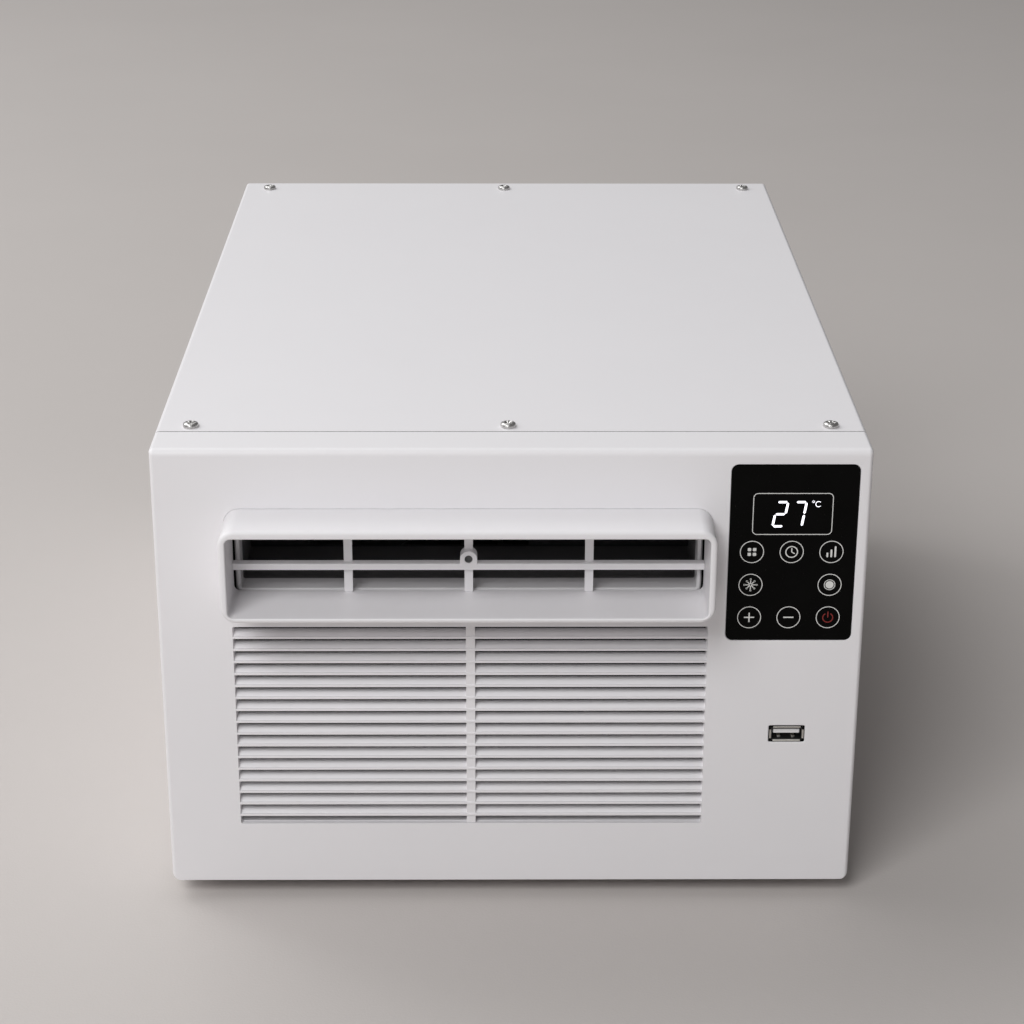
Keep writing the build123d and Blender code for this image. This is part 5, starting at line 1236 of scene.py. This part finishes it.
class AIR_UNIT_OT_touch_panel(bpy.types.Operator):
    """Gloss black touch panel with its printed keys and lit display"""

    bl_idname = "air_unit.touch_panel"
    bl_label = "Touch panel"

    digit_width = 5.3 * MM
    digit_height = 11.6 * MM
    digit_line = 1.06 * MM
    digit_gap = 0.2 * MM
    digit_lean = 0.155
    digit_taper = 0.9
    digits = (((104.9 * MM, 171.5 * MM), "abged"), ((112.4 * MM, 171.5 * MM), "abc"))
    # Middle, radius and line of the ring and the letter behind the figures
    degree_ring = ((121.6 * MM, 182.75 * MM), 0.48 * MM, 0.18 * MM)
    degree_letter = ((123.7 * MM, 181.7 * MM), 1.15 * MM, 0.27 * MM)
    power_line = 0.46 * MM
    # Ends of each bar, as shares of the figure's width and height
    bars = {
        "a": ((0, 1), (1, 1)),
        "b": ((1, 1), (1, 0.5)),
        "c": ((1, 0.5), (1, 0)),
        "d": ((0, 0), (1, 0)),
        "e": ((0, 0), (0, 0.5)),
        "g": ((0, 0.5), (1, 0.5)),
    }

    def execute(self, context):
        scene = context.scene
        sizes = scene.unit_touch
        soft = sizes.edge
        profile = [(soft, 0), (0.3 * soft, 0.3 * soft), (0, soft), (0, sizes.sheet)]
        shell = Shell()
        shell.solid(frames((sizes.x, sizes.z), (sizes.width, sizes.height), sizes.corner, profile, 8))
        seat(shell.piece("touch_glass", "glass"), "black_glass", "touch_panel")

        ink = Ink(sizes.ink)
        line = sizes.line
        for row in (-1, 0, 1):
            for column in (-1, 0, 1):
                if (row, column) != (0, 0):
                    ink.band(self.key(sizes, column, row)[0], sizes.ring, line)
        middle = (sizes.display_x, sizes.display_z)
        wide = sizes.display_width
        tall = sizes.display_height
        corner = sizes.display_corner
        inner = rounded(wide - 2 * line, tall - 2 * line, corner - line)
        ink.mark(shift(rounded(wide, tall, corner), middle), shift(inner, middle))
        self.signs(ink, sizes)
        seat(ink.piece("panel_print", "print"), "black_glass")

        ink = Ink(sizes.ink)
        power = self.key(sizes, 1, -1, *arc(2.05, 125, 415, 24, (0, -0.15)), (0, 0.1), (0, 2.4))
        ink.line(power[1:-2], self.power_line)
        ink.line(power[-2:], self.power_line)
        seat(ink.piece("power_sign", "power"), "black_glass")

        ink = Ink(sizes.ink)
        for place, lit in self.digits:
            self.digit(ink, place, lit)
        ink.band(*self.degree_ring)
        middle, radius, width = self.degree_letter
        ink.line(arc(radius, 50, 310, 14, middle), width)
        seat(ink.piece("display_digits", "lamp"), "black_glass")
        return {"FINISHED"}

    def key(self, sizes, column, row, *points):
        """The middle of a key, then points round it that are given in millimetres."""
        middle = (sizes.key_x + column * sizes.key_pitch_x, sizes.key_z + row * sizes.key_pitch_z)
        return [middle, *shift([(x * MM, z * MM) for x, z in points], middle)]

    def signs(self, ink, sizes):
        """Plain signs in the keys: squares, a clock, rising bars, a snow star, a lamp, plus and minus."""
        thin = 0.45 * MM
        for place in ((-1.05, -1.05), (-1.05, 1.05), (1.05, -1.05), (1.05, 1.05)):
            ink.mark(self.key(sizes, -1, 1, *shift(rounded(1.4, 1.4, 0.3, 3), place))[1:])
        middle, *hands = self.key(sizes, 0, 1, (0, 1.5), (0, 0), (1.1, -0.7))
        ink.band(middle, 2.6 * MM, thin)
        ink.line(hands, thin)
        for x, top in ((-1.6, -0.65), (0, 0.75), (1.6, 2.15)):
            ink.line(self.key(sizes, 1, 1, (x, -2), (x, top))[1:], 0.75 * MM)
        for turn in range(8):
            way = Vector((cos(turn * pi / 4), sin(turn * pi / 4)))
            reach = 2.2 if turn % 2 else 2.5
            root, tip = self.key(sizes, -1, 0, way * 0.55, way * reach)[1:]
            ink.line([root, tip], 0.42 * MM)
            ink.mark(circle(0.42 * MM, 10, tip))
        middle = self.key(sizes, 1, 0)[0]
        ink.band(middle, 2.35 * MM, 0.3 * MM)
        ink.mark(circle(1.65 * MM, 32, middle))
        arm = 2.1
        half = 0.27
        plus = [(half, half), (half, arm), (-half, arm), (-half, half), (-arm, half), (-arm, -half)]
        plus += [(-x, -z) for x, z in plus]
        ink.mark(self.key(sizes, -1, -1, *plus)[1:])
        minus = [(-arm, -half), (arm, -half), (arm, half), (-arm, half)]
        ink.mark(self.key(sizes, 0, -1, *minus)[1:])

    def digit(self, ink, place, lit):
        """A slanted figure of bar segments."""
        half = self.digit_line / 2
        wide = self.digit_width - self.digit_line
        tall = self.digit_height - self.digit_line
        cut = half * self.digit_taper
        for name in lit:
            start, end = (Vector((half + x * wide, half + z * tall)) for x, z in self.bars[name])
            way = (end - start).normalized()
            across = Vector((-way.y, way.x))
            start = start + way * self.digit_gap
            end = end - way * self.digit_gap
            outline = [start, start + (way - across) * cut, end - (way + across) * cut]
            outline += [end, end + (across - way) * cut, start + (way + across) * cut]
            ink.mark(shift([(point.x + point.y * self.digit_lean, point.y) for point in outline], place))


class AIR_UNIT_OT_socket(bpy.types.Operator):
    """USB socket: folded shell with curled lips, tongue and contacts"""

    bl_idname = "air_unit.socket"
    bl_label = "USB socket"

    # Places along the width, half width, front and back of the strips, in millimetres
    contacts = ((-3.5, -1, 1, 3.5), 0.5, 2.4, 8.9)
    springs = ((-3, 3), 0.8, 2.2, 6)
    contact_drop = 0.21 * MM
    contact_round = 0.06 * MM
    spring_rise = 0.5 * MM
    spring_round = 0.2 * MM
    tongue_round = 0.25 * MM
    lip_share = 0.7
    # Clearance to the panel, and clearance inside the shell
    hair = 0.02 * MM
    fit = 0.05 * MM

    def execute(self, context):
        scene = context.scene
        sizes = scene.unit_socket
        sheet = sizes.sheet
        centre = (sizes.x, sizes.z)
        size = (sizes.width, sizes.height)
        inside = (size[0] - 2 * sheet, size[1] - 2 * sheet)
        outer = (size, sizes.corner)
        front = sizes.setback
        shell = Shell()
        shell.sleeve(centre, outer, (inside, sizes.inner_corner), front, sizes.back)
        # The tube takes the black enamel: painted shade of the socket's cavity.
        tube = shell.piece("tube", "shell", angle=40)
        # The black collar fills the gap round the lips as painted shade of that gap.
        reach = 2 * (sizes.lip + sizes.gap - self.hair)
        around = (size[0] + reach, size[1] + reach)
        shell = Shell()
        shell.sleeve(centre, (around, sizes.lip), outer, front, front + sizes.collar)
        collar = shell.piece("collar", "gasket", angle=40)
        lips = self.lips(sizes, centre, size)
        seat(joined("socket_shell", tube, collar, lips), "nickel_shell", "usb_shell")

        x, z = centre
        half = inside[0] / 2 - self.fit
        low = z - inside[1] / 2
        top = z + inside[1] / 2
        over = top - sizes.tongue_top
        under = top - sizes.tongue_low
        root = sizes.tongue_back
        shell = Shell()
        shell.block((x - sizes.tongue, sizes.tongue_front, under), (x + sizes.tongue, root, over))
        shell.block((x - half, root, low + self.fit), (x + half, sizes.back - sheet, top - self.fit))
        tongue = shell.piece("tongue_bar", "pale", bevel=self.tongue_round)
        shell = self.strips(x, self.contacts, under - self.contact_drop, under)
        contacts = shell.piece("contacts", "brass", bevel=self.contact_round)
        shell = self.strips(x, self.springs, low, low + self.spring_rise)
        springs = shell.piece("springs", "nickel", bevel=self.spring_round)
        seat(joined("socket_tongue", tongue, contacts, springs), "white_moulding", "usb_tongue")
        return {"FINISHED"}

    def strips(self, x, strips, low, high):
        """Blocks side by side along the socket's width."""
        places, half, front, back = strips
        shell = Shell()
        for place in places:
            left = x + (place - half) * MM
            right = x + (place + half) * MM
            shell.block((left, front * MM, low), (right, back * MM, high))
        return shell

    def lips(self, sizes, centre, size):
        """A lip on each side of the shell, curled outwards at the front."""
        bend = sizes.lip
        thin = self.lip_share * sizes.sheet
        turns = [radians(angle) for angle in (20, 40, 60, 80)]
        curl = [(-thin, sizes.collar), (-thin, bend)]
        curl += [(bend - thin - bend * cos(turn), bend - bend * sin(turn)) for turn in turns]
        curl += [(bend - 0.1 * MM, self.hair), (bend, 0.12 * MM), (bend, thin + self.fit)]
        curl += [(0.45 * bend, thin + 0.15 * MM), (0.1 * MM, bend), (0, sizes.collar)]
        shell = Shell()
        for turn in range(4):
            run = (size[turn % 2] - sizes.lip_inset) / 2
            reach = size[1 - turn % 2] / 2
            cosine = cos(turn * pi / 2)
            sine = sin(turn * pi / 2)
            rings = []
            for along in (-run, run):
                ring = []
                for out, depth in curl:
                    up = reach + out
                    x = centre[0] + along * cosine - up * sine
                    ring.append(spot(x, depth, centre[1] + along * sine + up * cosine))
                rings.append(ring)
            shell.solid(rings)
        return shell.piece("lips", "nickel", angle=40)


class AIR_UNIT_OT_feet(bpy.types.Operator):
    """Rubber feet, with a ribbed side and a hollow under"""

    bl_idname = "air_unit.feet"
    bl_label = "Feet"

    # Radius and height in millimetres: the side's radius from the sole's, the shoulder from the upper edge
    hollow = ((0.5, 1.4), (3.2, 1.4), (4.0, 0.2), (4.6, 0))
    side = ((-1, 0), (-0.3, 0.3), (0, 1), (0.35, 2.4), (-0.2, 2.8), (-0.2, 3.2), (0.6, 3.6))
    shoulder = ((-0.3, -0.5), (-0.5, 0))

    def execute(self, context):
        scene = context.scene
        sizes = scene.unit_fittings
        casing = scene.unit_casing
        top = casing.low
        wide = sizes.foot
        sole = wide - sizes.foot_taper
        profile = [(radius * MM, z * MM) for radius, z in self.hollow]
        profile += [(sole + radius * MM, z * MM) for radius, z in self.side]
        profile += [(wide + radius * MM, top + z * MM) for radius, z in self.shoulder]
        profile.append((profile[0][0], top))
        shell = Shell()
        shell.turn(profile, 48)
        front = sizes.foot_inset
        back = casing.back - sizes.foot_inset
        feet = repeat(
            shell.piece("foot", "rubber"),
            "feet",
            grid_tree(),
            Columns=2,
            Rows=2,
            Width=2 * sizes.foot_x,
            Length=back - front,
            Spin=0.0,
            Seed=1,
            Turn=(0, 0, 0),
            Place=spot(0, (front + back) / 2, 0),
        )
        seat(feet, "rubber", "rubber_feet")
        return {"FINISHED"}


class AIR_UNIT_OT_inner_works(bpy.types.Operator):
    """Finishes of the pieces inside and behind, which keep their modelled shapes"""

    bl_idname = "air_unit.inner_works"
    bl_label = "Inner works"

    finishes = {
        "sheet": "rear_panel base_pan",
        "black": "filter_frame display_module drain_spout blower_wheel condenser_fan fan_shroud"
        " control_box relays",
        "mesh": "filter_mesh",
        "rubber": "cord_gland touch_pads compressor_grommets",
        "board": "display_board usb_board main_board",
        "fins": "evaporator_fins condenser_fins",
        "copper": "evaporator_tubes condenser_tubes discharge_pipe suction_pipe suction_elbow liquid_pipe"
        " filter_drier capillary_tube motor_bearings",
        "galvanised": "evaporator_plates condenser_plates bulkhead motor_case motor_bracket transformer",
        "dark": "orifice_plate drain_tray",
        "foam": "scroll_housing",
        "zinc": "drive_shaft motor_bolts compressor_studs",
        "shell": "compressor accumulator",
        "pale": "run_capacitor",
    }

    def execute(self, context):
        for name, nodes in self.finishes.items():
            for node in nodes.split():
                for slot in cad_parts[node].material_slots:
                    slot.material = FINISHES[name]
        return {"FINISHED"}


class AIR_UNIT_OT_stage(bpy.types.Operator):
    """Plain floor, soft studio light and the camera"""

    bl_idname = "air_unit.stage"
    bl_label = "Stage"

    floor_reach = 6
    floor_z = -0.1 * MM
    fill_colour = (1, 0.99, 0.985, 1)
    # Name, place, target and size of each light
    lamps = (
        ("key", (-1.7, 0.4, 1.5), (0, 0, 0.1), 1.6),
        ("front", (-0.7, -1.62, 1.6), (0, 0, 0.1), 1.1),
        ("low", (-0.3, -2.2, 0.5), (0, 0, 0.1), 0.8),
        ("back", (-1.3, 1.9, 2.6), (-0.4, 1.2, 0), 2.5),
    )

    def execute(self, context):
        scene = context.scene
        settings = scene.unit_stage
        scene.view_settings.view_transform = "Standard"
        reach = self.floor_reach
        corners = [(-reach, -reach), (reach, -reach), (reach, reach), (-reach, reach)]
        mesh = bpy.data.meshes.new("floor")
        mesh.from_pydata([(x, y, self.floor_z) for x, y in corners], [], [(0, 1, 2, 3)])
        mesh.materials.append(FINISHES["floor"])
        add("floor", mesh)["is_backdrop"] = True

        world = bpy.data.worlds.new("Studio")
        world.use_nodes = True
        even = world.node_tree.nodes["Background"].inputs
        even["Color"].default_value = self.fill_colour
        even["Strength"].default_value = settings.fill
        scene.world = world
        for name, place, target, size in self.lamps:
            self.lamp(name, place, target, size, getattr(settings, name))

        turn = settings.yaw
        tilt = settings.pitch
        ahead = Vector((sin(turn) * cos(tilt), cos(turn) * cos(tilt), -sin(tilt)))
        right = Vector((cos(turn), -sin(turn), 0))
        up = right.cross(ahead)
        across = right * cos(settings.roll) + up * sin(settings.roll)
        upward = up * cos(settings.roll) - right * sin(settings.roll)
        data = bpy.data.cameras.new("Camera")
        data.sensor_width = 36
        data.lens = settings.focal
        data.clip_end = 50
        camera = add("Camera", data)
        axes = Matrix((across, upward, -ahead)).transposed()
        camera.matrix_world = Matrix.Translation(settings.place) @ axes.to_4x4()
        scene.camera = camera
        return {"FINISHED"}

    def lamp(self, name, place, target, size, power):
        """A square soft light that faces a target."""
        data = bpy.data.lights.new(name, "AREA")
        data.shape = "SQUARE"
        data.size = size
        data.energy = power
        way = Vector(target) - Vector(place)
        turn = way.to_track_quat("-Z", "Y").to_matrix().to_4x4()
        add(name, data).matrix_world = Matrix.Translation(place) @ turn


class AIR_UNIT_PT_sidebar(bpy.types.Panel):
    """Lists the operators that dress the unit"""

    bl_idname = "AIR_UNIT_PT_sidebar"
    bl_label = "Air unit"
    bl_space_type = "VIEW_3D"
    bl_region_type = "UI"
    bl_category = "Air unit"

    def draw(self, context):
        for step in STEPS:
            self.layout.operator(step.bl_idname)


STEPS = (
    AIR_UNIT_OT_front_panel,
    AIR_UNIT_OT_casing,
    AIR_UNIT_OT_outlet,
    AIR_UNIT_OT_grille,
    AIR_UNIT_OT_screws,
    AIR_UNIT_OT_touch_panel,
    AIR_UNIT_OT_socket,
    AIR_UNIT_OT_feet,
    AIR_UNIT_OT_inner_works,
    AIR_UNIT_OT_stage,
)
GROUPS = {
    "unit_casing": CasingSizes,
    "unit_outlet": OutletSizes,
    "unit_grille": GrilleSizes,
    "unit_touch": TouchSizes,
    "unit_socket": SocketSizes,
    "unit_fittings": FittingSizes,
    "unit_colours": FinishColours,
    "unit_stage": StageSettings,
}
CLASSES = (*GROUPS.values(), *STEPS, AIR_UNIT_PT_sidebar)


def register():
    """Registers the classes and the scene's settings."""
    for item in CLASSES:
        bpy.utils.register_class(item)
    for name, group in GROUPS.items():
        setattr(bpy.types.Scene, name, bpy.props.PointerProperty(type=group))


def unregister():
    """Takes the settings and the classes away again."""
    for name in GROUPS:
        delattr(bpy.types.Scene, name)
    for item in reversed(CLASSES):
        bpy.utils.unregister_class(item)


def main():
    """Dresses the unit."""
    register()
    make_finishes(bpy.context.scene.unit_colours)
    for step in STEPS:
        family, name = step.bl_idname.split(".")
        getattr(getattr(bpy.ops, family), name)()
    boxes = {"cad": CAD_BOX, "visual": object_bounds()}
    plain = {key: [list(map(float, corner)) for corner in box] for key, box in boxes.items()}


if __name__ == "__main__":
    main()
